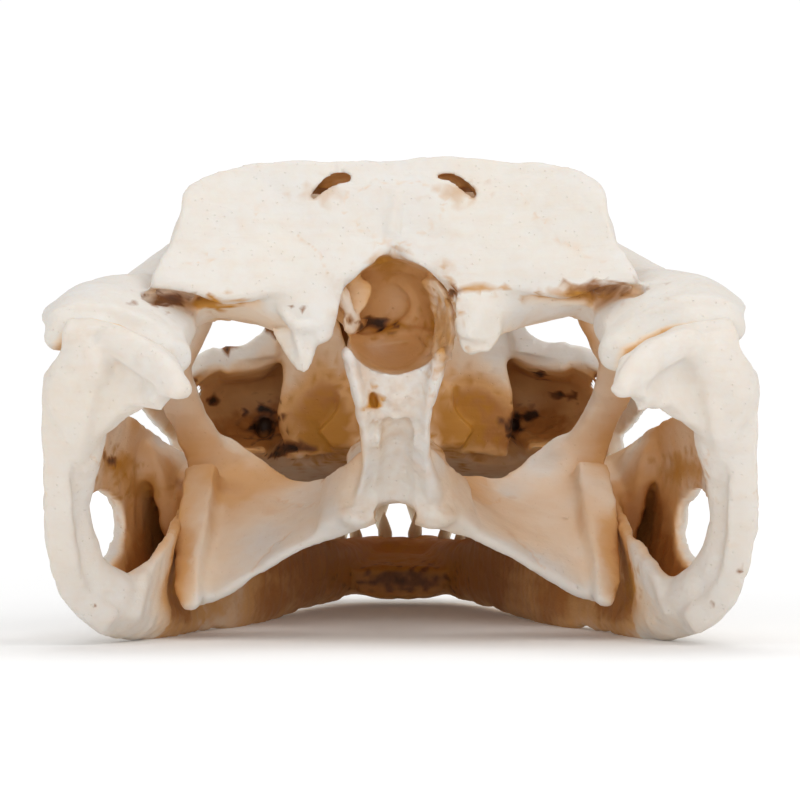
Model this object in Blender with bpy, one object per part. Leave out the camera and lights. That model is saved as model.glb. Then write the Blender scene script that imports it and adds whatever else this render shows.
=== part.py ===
"""Spectacled caiman skull with its lower jaw in place, modelled at life size.

The frame is metres with +Z up. The snout points along +Y, +X is the animal's right, and the
origin is under the middle of the skull on the surface that it rests on.

Most of the back of the skull is drawn on a sheet, as an eye behind the skull sees it. A point
there is counted in squares of the sheet, right and up from the eye's level, and it gets a depth
in millimetres along Y. The rest of the skull is drawn in millimetres straight away.
"""

import math

import bmesh
import bpy
import numpy as np

MM = 0.001

# The sheet that the back of the skull is drawn on, in millimetres
SQUARE = 0.2
EYE_TO_SHEET = 980.0
EYE_Y = -945.0
EYE_Z = 43.8

# The tips of both jaws, in millimetres from the middle of the skull
SNOUT_TIP_Y = 119.5
JAW_TIP_Y = 111.5

# How the cranium sits on the jaw: a slight roll and a slight shift to the left
CRANIUM_ROLL = math.radians(0.6)
CRANIUM_SHIFT = -0.9
ROLL_HEIGHT = 55.0

# The mesh: the grain that the shapes melt together in, and what is kept of it
GRAIN = 0.75
CRANIUM_TRIANGLES = 3700
JAW_TRIANGLES = 1700
MENDING_ROUNDS = 4

# Teeth: how deep a root sits, the space around it, and the sides of a tooth
ROOT_DEPTH = 2.4
SOCKET_GAP = 0.3
TOOTH_SIDES = 6
TOOTH_GIRTH = 0.95

# Heights of the teeth of one side, from the front to the back, and how many are nodes of their own
UPPER_HEIGHTS = (3.4, 4.4, 4.8, 6.2, 4.4, 4.0, 4.8, 6.8, 7.2, 5.4, 4.2, 4.0, 4.2, 4.2, 3.8, 3.4, 3.0, 2.8, 2.4)
LOWER_HEIGHTS = (4.6, 3.6, 3.8, 5.0, 3.8, 3.4, 3.4, 3.4, 3.4, 3.6, 3.8, 4.0, 3.6, 3.2, 2.8, 2.6, 2.2, 2.0)
UPPER_NODES = 15
LOWER_NODES = 14

# What is cut off the underside of the jaw, where bone wears flat, and the gap in the jaw joint
FLAT_UNDERSIDE = 0.35
JOINT_GAP = 0.4


def sheet(across, up, y):
    """A sheet point at depth y, as a place in millimetres."""
    spread = (y - EYE_Y) / EYE_TO_SHEET * SQUARE
    return (across * spread, y, EYE_Z + up * spread)


def drawn(rows):
    """Rows of sheet points as rows of places."""
    return [[sheet(*point) for point in row] for row in rows]


def curve_through(points, steps):
    """A smooth curve through the points, with steps stretches between each two."""
    p = np.asarray(points, dtype=float)
    if len(p) < 3:
        t = np.linspace(0, 1, steps + 1)[:, None]
        return p[0] * (1 - t) + p[1] * t
    p = np.concatenate([[2 * p[0] - p[1]], p, [2 * p[-1] - p[-2]]])
    out = []
    for i in range(len(p) - 3):
        a, b, c, d = p[i : i + 4]
        for t in np.arange(steps) / steps:
            bend = 2 * a - 5 * b + 4 * c - d
            out.append(0.5 * (2 * b + (c - a) * t + bend * t**2 + (3 * b - a - 3 * c + d) * t**3))
    out.append(p[-2])
    return np.array(out)


def grid_faces(n, m):
    """The quads of an n by m grid of points."""
    corners = [(i * m + j, (i + 1) * m + j) for i in range(n - 1) for j in range(m - 1)]
    return [(a, b, b + 1, a + 1) for a, b in corners]


def plate(rows, thick, steps=5):
    """A curved plate through rows of places, of a thickness that may vary from row to row."""
    thick = np.broadcast_to(np.asarray(thick, dtype=float).reshape(-1, 1), (len(rows), len(rows[0])))
    grid = np.concatenate([np.array(rows, dtype=float), thick[:, :, None]], axis=2)
    across = np.array([curve_through(row, steps) for row in grid])
    fine = np.array([curve_through(across[:, j], steps) for j in range(across.shape[1])]).transpose(1, 0, 2)
    n, m = fine.shape[:2]
    place = fine[:, :, :3]
    normal = np.cross(np.gradient(place, axis=0), np.gradient(place, axis=1))
    normal /= np.maximum(np.linalg.norm(normal, axis=2, keepdims=True), 1e-9)
    half = np.maximum(fine[:, :, 3:], 0.4) / 2
    verts = np.concatenate([(place + normal * half).reshape(-1, 3), (place - normal * half).reshape(-1, 3)])
    top = grid_faces(n, m)
    faces = top + [tuple(n * m + k for k in reversed(face)) for face in top]
    edge = [(0, j) for j in range(m)] + [(i, m - 1) for i in range(1, n)]
    edge += [(n - 1, j) for j in range(m - 2, -1, -1)] + [(i, 0) for i in range(n - 2, 0, -1)]
    ring = [i * m + j for i, j in edge]
    faces += [(a, b, b + n * m, a + n * m) for a, b in zip(ring, ring[1:] + ring[:1])]
    return verts, faces


def loft(rings):
    """A closed body through rings of places that have the same number of points."""
    n, m = len(rings), len(rings[0])
    verts = np.array(rings, dtype=float).reshape(-1, 3)
    faces = []
    for i in range(n - 1):
        for j in range(m):
            k = (j + 1) % m
            faces.append((i * m + j, i * m + k, (i + 1) * m + k, (i + 1) * m + j))
    faces.append(tuple(reversed(range(m))))
    faces.append(tuple((n - 1) * m + j for j in range(m)))
    return verts, faces


def bar(points, sizes, up=(0, 0, 1), sides=12, steps=5):
    """A rounded bar along places. Each size is the half width across up, and the half width along it."""
    sizes = [size if isinstance(size, tuple) else (size, size) for size in sizes]
    path = curve_through([tuple(p) + s for p, s in zip(points, sizes)], steps)
    place, size = path[:, :3], np.maximum(path[:, 3:], 0.3)
    along = np.gradient(place, axis=0)
    side = np.cross(np.broadcast_to(np.array(up, dtype=float), along.shape), along)
    side /= np.maximum(np.linalg.norm(side, axis=1, keepdims=True), 1e-9)
    rise = np.cross(along, side)
    rise /= np.maximum(np.linalg.norm(rise, axis=1, keepdims=True), 1e-9)
    turn = np.arange(sides) / sides * math.tau
    rings = [
        p + np.outer(np.cos(turn) * w, s) + np.outer(np.sin(turn) * h, r)
        for p, (w, h), s, r in zip(place, size, side, rise)
    ]
    first, last = rings[0], rings[-1]
    tip = lambda ring, scale: ring.mean(axis=0) + (ring - ring.mean(axis=0)) * scale
    step = along[0] / np.linalg.norm(along[0]) * size[0].min()
    end = along[-1] / np.linalg.norm(along[-1]) * size[-1].min()
    rings = [tip(first, 0.35) - step * 0.9, tip(first, 0.8) - step * 0.6] + rings
    rings += [tip(last, 0.8) + end * 0.6, tip(last, 0.35) + end * 0.9]
    return loft(rings)


def lump(centre, radii, turn=0.0):
    """An egg-shaped body, turned about its long way seen from behind."""
    bm = bmesh.new()
    bmesh.ops.create_icosphere(bm, subdivisions=3, radius=1.0)
    verts = np.array([v.co[:] for v in bm.verts]) * radii
    faces = [tuple(v.index for v in f.verts) for f in bm.faces]
    bm.free()
    c, s = math.cos(turn), math.sin(turn)
    x, z = verts[:, 0] * c - verts[:, 2] * s, verts[:, 0] * s + verts[:, 2] * c
    return np.stack([x, verts[:, 1], z], axis=1) + centre, faces


def joined(shapes, both_sides=True):
    """The points and faces of all the shapes, with a mirrored copy of each on the left."""
    verts, faces, count = [], [], 0
    for points, quads in shapes:
        for side in (1, -1) if both_sides else (1,):
            verts.append(np.asarray(points) * (side, 1, 1))
            faces += [tuple(k + count for k in (quad if side > 0 else reversed(quad))) for quad in quads]
            count += len(points)
    return np.concatenate(verts), faces


def mesh_object(name, verts, faces):
    """A new object from places in millimetres."""
    mesh = bpy.data.meshes.new(name)
    mesh.from_pydata((np.asarray(verts) * MM).tolist(), [], faces)
    mesh.update()
    obj = bpy.data.objects.new(name, mesh)
    bpy.context.scene.collection.objects.link(obj)
    return obj


def settle(obj, one_body=True):
    """Put the object's modifiers into its mesh, and keep only its largest body."""
    graph = bpy.context.evaluated_depsgraph_get()
    mesh = bpy.data.meshes.new_from_object(obj.evaluated_get(graph))
    obj.modifiers.clear()
    obj.data = mesh
    if not one_body:
        return obj
    bm = bmesh.new()
    bm.from_mesh(mesh)
    left, bodies = set(bm.verts), []
    while left:
        todo = [left.pop()]
        body = set(todo)
        while todo:
            for edge in todo.pop().link_edges:
                for vert in edge.verts:
                    if vert in left:
                        left.discard(vert)
                        body.add(vert)
                        todo.append(vert)
        bodies.append(body)
    largest = max(bodies, key=len)
    for body in bodies:
        if body is not largest:
            bmesh.ops.delete(bm, geom=list(body), context="VERTS")
    bm.to_mesh(mesh)
    bm.free()
    return obj


def melt(obj, grain=GRAIN, one_body=True):
    """Melt overlapping shapes into one skin."""
    remesh = obj.modifiers.new("melt", "REMESH")
    remesh.mode = "VOXEL"
    remesh.voxel_size = grain * MM
    return settle(obj, one_body)


def cut(obj, shapes, both_sides=True, melted=True):
    """Take the shapes out of the object."""
    cutter = mesh_object("cutter", *joined(shapes, both_sides))
    if melted:
        melt(cutter, one_body=False)
    return take_out(obj, cutter)


def clear_of(obj, neighbour, gap):
    """Take the neighbour out of the object, with a gap all round it."""
    swollen = bpy.data.objects.new("swollen", neighbour.data.copy())
    bpy.context.scene.collection.objects.link(swollen)
    swell = swollen.modifiers.new("swell", "DISPLACE")
    swell.strength = gap * MM
    swell.mid_level = 0
    settle(swollen)
    return take_out(obj, swollen)


def take_out(obj, cutter):
    """Cut one object out of another, and drop it."""
    boolean = obj.modifiers.new("cut", "BOOLEAN")
    boolean.operation = "DIFFERENCE"
    boolean.solver = "EXACT"
    boolean.object = cutter
    settle(obj)
    bpy.data.objects.remove(cutter)
    return obj


def soften(obj, times):
    smooth = obj.modifiers.new("soften", "SMOOTH")
    smooth.factor = 0.5
    smooth.iterations = times
    return settle(obj)


def thin_out(obj, triangles):
    """Keep about this number of triangles, and close the skin again where a collapse tore it."""
    count = sum(len(face.vertices) - 2 for face in obj.data.polygons)
    decimate = obj.modifiers.new("thin", "DECIMATE")
    decimate.ratio = min(1.0, triangles / count)
    settle(obj)
    bm = bmesh.new()
    bm.from_mesh(obj.data)
    for _ in range(MENDING_ROUNDS):
        torn = {vert for edge in bm.edges if len(edge.link_faces) != 2 for vert in edge.verts}
        if not torn:
            break
        bmesh.ops.delete(bm, geom=list(torn), context="VERTS")
        bmesh.ops.holes_fill(bm, edges=[edge for edge in bm.edges if edge.is_boundary])
        bmesh.ops.triangulate(bm, faces=[face for face in bm.faces if len(face.verts) > 3])
    bm.to_mesh(obj.data)
    bm.free()
    return obj


def snout_ring(y, half_width, edge_z, top_z, sharp=2.3, points=14):
    """One ring of the snout: an arched roof over a slightly vaulted palate."""
    ring = []
    for k in range(points + 1):
        turn = math.pi * k / points
        x = half_width * math.cos(turn)
        arch = max(0.0, 1 - abs(math.cos(turn)) ** sharp) ** 0.62
        ring.append((x, y, edge_z + (top_z - edge_z) * arch))
    for k in range(1, points):
        x = half_width * (-1 + 2 * k / points)
        ring.append((x, y, edge_z + 2.2 * (1 - (x / half_width) ** 2)))
    return ring


# Snout stations: y, half width, height of the tooth row and of the midline
SNOUT = (
    (-9.0, 44.0, 32.5, 67.0),
    (5.0, 41.5, 31.0, 64.5),
    (20.0, 37.2, 28.5, 59.5),
    (36.0, 33.0, 26.0, 54.0),
    (52.0, 30.6, 23.6, 49.5),
    (66.0, 28.6, 22.0, 46.0),
    (78.0, 25.2, 21.4, 43.6),
    (86.0, 22.4, 21.4, 42.5),
    (94.0, 23.4, 21.0, 42.5),
    (104.0, 23.8, 20.2, 42.0),
    (111.0, 21.2, 20.2, 39.5),
    (116.0, 15.8, 20.8, 35.5),
    (SNOUT_TIP_Y, 8.0, 22.4, 30.5),
)

# Jaw stations: y, outer side, breadth, top and underside, and how far the foot leans inwards
JAW = (
    (-34.0, 49.2, 3.5, 36.5, 3.0, 9.0),
    (-15.0, 44.2, 8.0, 33.5, 0.0, 7.0),
    (0.0, 39.6, 9.0, 29.0, 0.0, 5.5),
    (25.0, 32.6, 9.0, 23.4, 0.5, 2.7),
    (50.0, 26.6, 9.5, 18.8, 1.2, 0.8),
    (68.0, 22.8, 10.0, 15.8, 1.6, 0.0),
    (84.0, 19.4, 11.0, 14.2, 2.0, 0.0),
    (95.0, 16.8, 11.0, 14.2, 3.0, 0.0),
    (103.5, 13.0, 10.0, 14.6, 5.0, 0.0),
    (108.5, 8.6, 8.6, 15.0, 7.6, 0.0),
)


def jaw_ring(y, outer, breadth, top, under, foot, points=16):
    """One ring of a ramus, a tall rounded box whose foot leans inwards."""
    ring = []
    for k in range(points):
        turn = math.tau * k / points
        c, s = math.cos(turn), math.sin(turn)
        width = breadth / 2 * math.copysign(abs(c) ** 0.75, c)
        rise = (top - under) / 2 * math.copysign(abs(s) ** 0.8, s)
        lean = foot * (rise / (top - under) - 0.5)
        ring.append((outer - breadth / 2 + width + lean, y, (top + under) / 2 + rise))
    return ring


def braincase():
    """The block of the braincase with the plate of the occiput and the skull table."""
    occiput = drawn(
        [
            [(0, 230, -72), (50, 236, -73), (105, 235, -74), (150, 229, -75), (186, 219, -77), (205, 203, -79)],
            [(0, 203, -77), (50, 203, -77), (105, 203, -77), (150, 201, -79), (194, 194, -81), (215, 183, -83)],
            [(0, 160, -79), (50, 165, -80), (105, 163, -81), (155, 158, -83), (203, 152, -85), (227, 147, -86)],
            [(14, 138, -82), (62, 128, -84), (110, 126, -85), (162, 118, -88), (212, 120, -90), (243, 122, -90)],
            [(40, 122, -84), (75, 112, -85), (112, 108, -86), (162, 100, -90), (208, 108, -91), (244, 112, -91)],
        ]
    )
    table = [
        [(0, -72, 82.9), (12, -72, 83.9), (22, -73, 83.5), (31, -74, 81.7), (36, -76, 79.3)],
        [(0, -60, 82.1), (12, -60, 82.1), (22, -60, 82.9), (31, -60, 82.1), (34.5, -60, 79.9)],
        [(0, -46, 81.1), (10, -46, 81.1), (20, -46, 81.7), (27, -46, 81.5), (30, -47, 79.7)],
        [(0, -40, 80.3), (7, -41, 80.7), (14, -43, 81.3), (22, -44, 80.9), (26, -46, 79.7)],
    ]
    lower = drawn(
        [
            [(48, 124, -83), (80, 116, -84), (118, 112, -84), (160, 108, -84), (200, 106, -84)],
            [(56, 92, -85), (84, 90, -86), (118, 94, -84), (158, 96, -80), (196, 100, -80)],
            [(62, 72, -86), (82, 70, -87), (104, 74, -84), (135, 84, -78), (168, 90, -74)],
            [(66, 62, -86), (80, 58, -88), (98, 60, -86), (118, 73, -80), (136, 84, -74)],
        ]
    )
    return [
        plate(occiput, (4.5, 4.0, 3.6, 3.2, 2.6)),
        plate(table, (5.0, 4.6, 4.4, 4.0)),
        plate(lower, (4.0, 3.6, 3.0, 2.4)),
        lump((0, -64, 68.5), (17.5, 16, 13)),
        lump((0, -52, 65.5), (13, 15, 12)),
        bar([(0, -58, 61.5), (0, -46, 63.5), (0, -36, 69.5), (0, -30, 74.5)], [(9, 9), (7, 8), (5, 6), (4, 3)]),
        bar([sheet(88, 66, -84), sheet(86, 48, -86.5), sheet(88, 34, -88)],
            [(4.4, 1.6), (2.2, 1.2), (0.6, 0.6)], up=(0, 1, 0)),
    ]


def quadrates():
    """The quadrate that carries the jaw joint, with the quadratojugal along its side."""
    blade = drawn(
        [
            [(222, 46, -98), (250, 64, -99), (285, 78, -100), (318, 82, -100), (342, 68, -98)],
            [(214, 66, -90), (240, 86, -90), (278, 101, -90), (315, 97, -90), (342, 78, -89)],
            [(196, 82, -80), (222, 100, -78), (255, 115, -78), (296, 108, -80), (328, 90, -80)],
            [(170, 88, -72), (198, 108, -70), (226, 122, -70), (262, 118, -70), (306, 94, -70)],
            [(120, 92, -62), (155, 122, -60), (185, 155, -60), (215, 152, -58), (232, 140, -58)],
            [(80, 92, -52), (110, 130, -50), (150, 178, -50), (165, 185, -48), (172, 190, -48)],
        ]
    )
    return [
        plate(blade, (6.5, 6.0, 5.0, 4.0, 3.4, 3.0)),
        bar([sheet(222, 46, -98), sheet(226, 54, -94), sheet(214, 74, -86)], [(3.4, 3.6), (3.4, 3.4), (3, 3)]),
        bar([sheet(328, 74, -99), sheet(316, 82, -90), sheet(298, 94, -80)], [(3.4, 3.4), (3.2, 3.2), (2.6, 2.6)]),
        bar([sheet(228, 50, -99), sheet(270, 64, -100), sheet(300, 72, -101), sheet(336, 68, -99)], [3.2, 2.4, 3, 3]),
    ]


def cheek():
    """The jugal arch, the bar behind the orbit and the ectopterygoid."""
    arch = [(40.5, 4, 39.5), (43.5, -12, 43), (46.8, -28, 45.9), (50.5, -45, 49.1), (55, -63, 52.9), (59, -82, 57.1)]
    return [
        bar(arch, [(2.4, 6.5), (2.2, 6.0), (2.0, 4.2), (2.0, 4.0), (2.0, 3.8), (2.4, 3.4)]),
        bar([(27.5, -47, 79.5), (30.5, -46, 71.5), (34.5, -43, 61.5), (38.5, -40, 53.5), (44, -38, 47.5)],
            [(3.8, 3.0), (2.4, 2.2), (2.2, 2.2), (2.6, 2.4), (3.6, 2.6)], up=(0, 1, 1.5)),
        plate([
            [(38.0, -40, 51.5), (42, -40, 50), (46, -38, 47.5)],
            [(37.2, -37, 47.5), (40, -37, 45.5), (43.6, -35, 43.5)],
            [(35.4, -34, 41.5), (38.2, -33, 40.5), (41, -31, 39)],
            [(31.5, -31, 36), (36.0, -31, 34.1), (39, -29, 33.5)],
            [(29, -31, 33.7), (35.5, -33, 30.9), (38.6, -33, 29.9)],
        ], (2.6, 2.8, 3.0, 3.0, 2.8)),
        plate([
            [(26, 2, 51), (33, 0, 50.5), (40, -4, 48.5)],
            [(27, -4, 52), (34, -5, 51.7), (42, -9, 49)],
            [(32, -9, 52.3), (37, -10, 51.5), (43.5, -15, 48)],
        ], (3.4, 3.0, 4.1)),
    ]


def palate():
    """The palatine tube, the pillar in front of the orbit, the wings of the pterygoids and the column."""
    wing = drawn(
        [
            [(22, -58, -60), (34, -66, -52), (44, -92, -58), (50, -124, -63)],
            [(62, -78, -42), (66, -84, -42), (74, -108, -52), (74, -136, -61)],
            [(104, -80, -35), (106, -86, -36), (114, -118, -48), (114, -156, -61)],
            [(140, -56, -31), (142, -66, -31), (150, -118, -45), (150, -178, -60)],
            [(172, -34, -29), (176, -50, -30), (184, -122, -44), (182, -197, -60)],
            [(198, -50, -31), (198, -66, -32), (203, -126, -45), (206, -205, -60)],
        ]
    )
    flange = drawn(
        [
            [(228, 30, -84), (212, 36, -80), (196, 40, -72)],
            [(256, -2, -76), (230, 2, -72), (200, 2, -64)],
            [(250, -34, -66), (226, -32, -62), (202, -30, -54)],
            [(236, -66, -56), (218, -64, -52), (205, -60, -44)],
        ]
    )
    edge = drawn(
        [
            [(178, -64, -38), (194, -66, -37), (210, -70, -36)],
            [(182, -92, -43), (198, -92, -42), (215, -94, -41)],
            [(187, -124, -49), (203, -126, -48), (219, -128, -47)],
            [(194, -160, -56), (208, -162, -55), (222, -164, -54)],
            [(196, -186, -61), (209, -188, -60), (222, -190, -59)],
            [(196, -202, -63), (205, -207, -63.5), (214, -208, -62.5)],
        ]
    )
    root = drawn(
        [
            [(22, -44, -68), (28, -78, -65), (32, -110, -62)],
            [(42, -66, -60), (48, -90, -61), (56, -122, -62)],
            [(66, -80, -50), (70, -100, -54), (76, -130, -60)],
        ]
    )
    return [
        plate(wing, (5.0, 2.8, 2.0, 2.0, 2.2, 2.6)),
        plate(flange, (2.4, 2.0, 2.0, 2.0)),
        plate(edge, (3.0, 3.2, 3.2, 3.2, 3.0, 2.2)),
        plate(root, (5.0, 4.0, 3.0)),
        bar([(0, 22, 32), (0, 0, 33.5), (0, -24, 34), (0, -42, 33), (0, -56, 29.5)],
            [(9, 4.5), (8.5, 4.5), (8, 4.2), (9.5, 4.0), (8, 4.4)]),
        bar([sheet(0, 36, -78), sheet(0, 4, -76), sheet(0, -22, -72), sheet(0, -58, -67), sheet(0, -92, -62)],
            [(8.2, 5.0), (6.6, 6.0), (5.6, 6.0), (5.6, 5.4), (6.8, 5.0)], up=(0, 1, 0)),
        plate(drawn([
            [(0, 30, -74), (0, -20, -66), (0, -70, -58)],
            [(0, 40, -56), (0, -10, -50), (0, -60, -44)],
        ]), 5.0),
        lump(sheet(24, -108, -63), (4.6, 3.2, 3.0)),
        lump(sheet(40, -116, -63.5), (3.6, 2.8, 2.4)),
        plate([
            [(7, -4, 34), (8, -7, 48), (11, -8, 60), (13, -8, 68)],
            [(15, -3, 33.5), (17, -6, 44), (17.5, -7, 53), (19, -7, 60)],
            [(21, -1, 33), (22.5, -5, 42), (21.5, -6, 50), (22, -6, 58)],
        ], 2.6),
    ]


def roof():
    """The frontal between the orbits, and the ridge across the face in front of them."""
    frontal = [
        [(0, -44, 80.5), (7, -44, 80.9), (14, -44.5, 81.5), (22, -46, 81.1)],
        [(0, -38, 79.1), (4.5, -38, 79.7), (8.5, -38, 80.9), (11, -39, 81.5)],
        [(0, -26, 76.5), (3.5, -26, 77.3), (6.5, -26, 78.9), (8.2, -26, 79.7)],
        [(0, -15, 73.1), (4.5, -15, 74.1), (8.5, -14, 75.5), (11, -14, 75.9)],
        [(0, -5, 69.1), (6.5, -5, 69.9), (13.0, -6, 70.7), (18, -7, 68.5)],
        [(0, 8, 63.9), (6.5, 8, 63.5), (13, 6, 62.5), (20, 5, 59.5)],
    ]
    return [
        plate(frontal, (4.6, 4.0, 3.6, 3.8, 4.4, 4.0)),
        bar([(19, -8, 65), (13.5, -6, 71), (7, -2, 71.7), (0, 1.5, 70.9)], [1.6, 1.9, 1.7, 1.5]),
        plate([
            [(13, -3, 67.5), (19, -5, 61), (24, -7, 53), (33, -9, 51)],
            [(13, 8, 62), (19, 7, 57.5), (25, 5, 50), (34, 3, 48.5)],
        ], 3.6),
    ]


def snout():
    """The snout as a solid arch, hollowed afterwards."""
    return [loft([snout_ring(*station) for station in SNOUT])]


def snout_hollows():
    """What is taken out of the snout: the orbits' fronts, palate windows, nasal passage and nostril."""
    return [
        lump((25.5, -10, 43.5), (15.0, 19, 8.6), turn=-0.10),
        lump((14, -12, 54), (9, 12, 9)),
        lump((31, -3, 62), (8.2, 16, 8.2)),
        lump((18.5, -4, 30), (7.4, 21, 9)),
        bar([(0, -14, 50), (0, 20, 46), (0, 60, 38), (0, 99, 34)], [(9, 9), (8, 8), (6, 6), (6, 5)]),
        lump((0, 100, 43), (8.2, 10.0, 10)),
        lump((0, 107, 21), (3.2, 5.0, 6)),
    ]


def cranium_shapes():
    return braincase() + quadrates() + cheek() + palate() + roof()


def cranium_hollows():
    """The broken braincase, the holes in the table and those of the column."""
    return [
        lump(sheet(0, 84, -80), (9.8, 17, 10.4)),
        lump((14.5, -60, 80), (5.6, 7.4, 11)),
        lump(sheet(66, 210, -74), (3.8, 3.4, 1.8), turn=0.35),
        bar([sheet(0, -33, -78), sheet(0, -48, -74.5), sheet(0, -66, -71), sheet(0, -92, -66.5)],
            [(2.3, 3.2), (2.6, 3.0), (2.9, 2.8), (4.0, 2.6)], up=(0, 1, 0)),
        lump(sheet(0, -114, -63), (4.3, 7.5, 2.5)),
    ]


def jaw_shapes():
    """Both halves of the lower jaw with the joint, its process behind, and the symphysis."""
    rim = drawn([[
        (310, 40, -108), (330, 18, -105), (322, -14, -99), (323, -42, -94), (331, -84, -89),
        (333, -124, -86), (319, -168, -82), (285, -201, -77), (254, -206, -69), (230, -206, -54),
    ]])[0]
    wall = [
        [(58.9, -104, 49), (59.3, -101, 39), (59.3, -96, 25), (57.5, -88, 11), (51, -82, 4.4)],
        [(58.9, -88, 48), (59.4, -84, 37), (59.8, -82, 25), (57.4, -79, 10), (50.5, -76, 3.4)],
        [(57.2, -72, 46), (58.4, -70, 37), (58.4, -68, 23), (55.2, -66, 9), (46.6, -64, 2.4)],
        [(53.6, -52, 43), (54.8, -50, 35), (54.0, -48, 21), (49.4, -48, 7), (41, -48, 1.9)],
        [(48.4, -34, 39.5), (49.2, -32, 31), (48.0, -30, 18), (44.4, -30, 6), (37, -31, 1.6)],
        [(42.6, -18, 34.5), (43.0, -16, 27), (42.0, -14, 17), (39.4, -14, 6), (33.4, -16, 1.6)],
    ]
    inner = drawn([
        [(274, -216, -77), (268, -196, -76), (264, -174, -75)],
        [(260, -222, -70), (254, -190, -70), (246, -156, -70)],
        [(246, -226, -61), (240, -182, -62), (230, -132, -64)],
        [(232, -227, -51), (230, -175, -52), (220, -108, -57)],
        [(214, -227, -39), (216, -160, -40), (214, -84, -47)],
        [(197, -226, -27), (204, -142, -27), (206, -60, -34)],
        [(170, -224, -14), (178, -132, -12), (186, -60, -14)],
    ])
    joint = drawn([
        [(226, 18, -114), (262, 38, -110), (300, 56, -106), (334, 62, -104)],
        [(226, 28, -104), (262, 50, -103), (300, 66, -103), (332, 68, -102)],
        [(232, 32, -96), (264, 52, -95), (300, 64, -95), (330, 64, -95)],
    ])
    process = drawn([
        [(218, 12, -119), (232, 40, -112), (262, 58, -108), (306, 70, -106), (334, 68, -104)],
        [(224, 4, -117), (240, 24, -110), (268, 36, -106), (306, 46, -106), (338, 44, -105)],
        [(236, 2, -113), (254, 6, -108), (278, 6, -105), (308, -6, -103), (334, -10, -102)],
        [(250, 2, -109), (266, -8, -106), (288, -26, -102), (308, -42, -98), (328, -46, -96)],
    ])
    symphysis = [
        [(x, y, z) for x, z in ((w, t - 1), (w * 0.5, t - 0.5), (-w * 0.5, t - 0.5), (-w, t - 1),
                                (-w, u + 1), (-w * 0.5, u), (w * 0.5, u), (w, u + 1))]
        for y, w, t, u in ((78, 9, 9.4, 2.4), (88, 11, 10.6, 2.2), (97, 10.6, 11.8, 3.4), (103.5, 8.6, 12.6, 5.2),
                           (108, 5.6, 13.2, 7.6))
    ]
    return [
        bar(rim, [(4.6, 3.4), (4.8, 4.0), (4.8, 6.0), (5.0, 5.4), (4.6, 4.3), (4.4, 4.0), (4.6, 4.4), (5.4, 5.0),
                  (5.2, 4.0), (3.4, 3.0)], up=(0, 1, 0)),
        bar(drawn([[(292, 62, -109), (262, 46, -111), (238, 30, -115), (224, 12, -117.5)]])[0],
            [(2.6, 1.8), (2.9, 2.4), (2.9, 2.6), (2.2, 2.2)], up=(0, 1, 0)),
        plate(wall, (5.0, 4.0, 3.2, 3.0, 3.0, 3.4)),
        plate(inner, (3.6, 2.8, 2.6, 2.6, 2.6, 2.8, 3.0)),
        plate(joint, 5.0),
        plate(process, (4.6, 4.6, 4.8, 4.6)),
        loft([jaw_ring(*station) for station in JAW]),
        loft(symphysis),
        lump((0, 103.5, 10.4), (9.0, 6.4, 4.2)),
    ]


def jaw_hollows():
    """The window in the outer side of each ramus."""
    points, faces = lump((0, 0, 0), (14, 16.5, 7.2))
    lean = np.array([[1, 0, 0], [0, 1, 0.14], [0, 0, 1]])
    return [(points @ lean + (56, -56, 20), faces)]


def tooth_line(edge, inset):
    """The line that teeth stand on, from the jaw's tip backwards, set in from its outer edge."""
    fine = curve_through(edge, 16)
    along = np.gradient(fine[:, :2], axis=0)
    along /= np.linalg.norm(along, axis=1, keepdims=True)
    inwards = np.stack([along[:, 1], -along[:, 0]], axis=1)
    fine[:, :2] += inwards * inset
    return fine[fine[:, 0] > 1.6]


def tooth_places(line, count, start, end):
    """Places for teeth along the line, from start to end in millimetres along it."""
    run = np.concatenate([[0], np.cumsum(np.linalg.norm(np.diff(line, axis=0), axis=1))])
    wanted = np.linspace(start, run[-1] - end, count)
    return [tuple(np.interp(w, run, line[:, k]) for k in range(3)) for w in wanted]


def tooth(place, height, radius, way, lean):
    """A tooth: a root, a slightly swollen neck, and a pointed crown that leans outwards."""
    rings = []
    for rise, girth in ((-ROOT_DEPTH, 0.85), (0.3 * height, 1.0), (0.7 * height, 0.6), (height, 0.14)):
        out = lean * max(0.0, rise / height) ** 2
        rings.append([
            (place[0] + out + radius * girth * math.cos(turn), place[1] + radius * girth * math.sin(turn) * way,
             place[2] + way * rise)
            for turn in (math.tau * k / TOOTH_SIDES for k in range(TOOTH_SIDES))
        ])
    return loft(rings)


def socket(place, radius, way):
    """The hole for a tooth's root, with a little space all round it."""
    r = radius + 1.2 * SOCKET_GAP
    rings = [
        [(place[0] + r * math.cos(turn), place[1] + r * math.sin(turn) * way, place[2] + way * rise)
         for turn in (math.tau * k / TOOTH_SIDES for k in range(TOOTH_SIDES))]
        for rise in (-ROOT_DEPTH - SOCKET_GAP, 3.0)
    ]
    return loft(rings)


def tooth_row(edge, inset, heights, start, end, way, lean):
    """The teeth of the right side of a jaw: place, height, radius, way and lean of each."""
    places = tooth_places(tooth_line(edge, inset), len(heights), start, end)
    return [(place, height, TOOTH_GIRTH * (0.9 + 0.13 * height), way, lean) for place, height in zip(places, heights)]


def mirrored(place, side):
    return (place[0] * side, place[1], place[2])


def set_cranium(place):
    """Where a place of the cranium comes to lie, with its roll and its shift."""
    x, y, z = place
    c, s = math.cos(CRANIUM_ROLL), math.sin(CRANIUM_ROLL)
    return (x * c - (z - ROLL_HEIGHT) * s + CRANIUM_SHIFT, y, ROLL_HEIGHT + x * s + (z - ROLL_HEIGHT) * c)


def material(name, color, roughness):
    mat = bpy.data.materials.new(name)
    mat.use_nodes = True
    shader = mat.node_tree.nodes["Principled BSDF"]
    shader.inputs["Base Color"].default_value = (*color, 1)
    shader.inputs["Roughness"].default_value = roughness
    return mat


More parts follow.
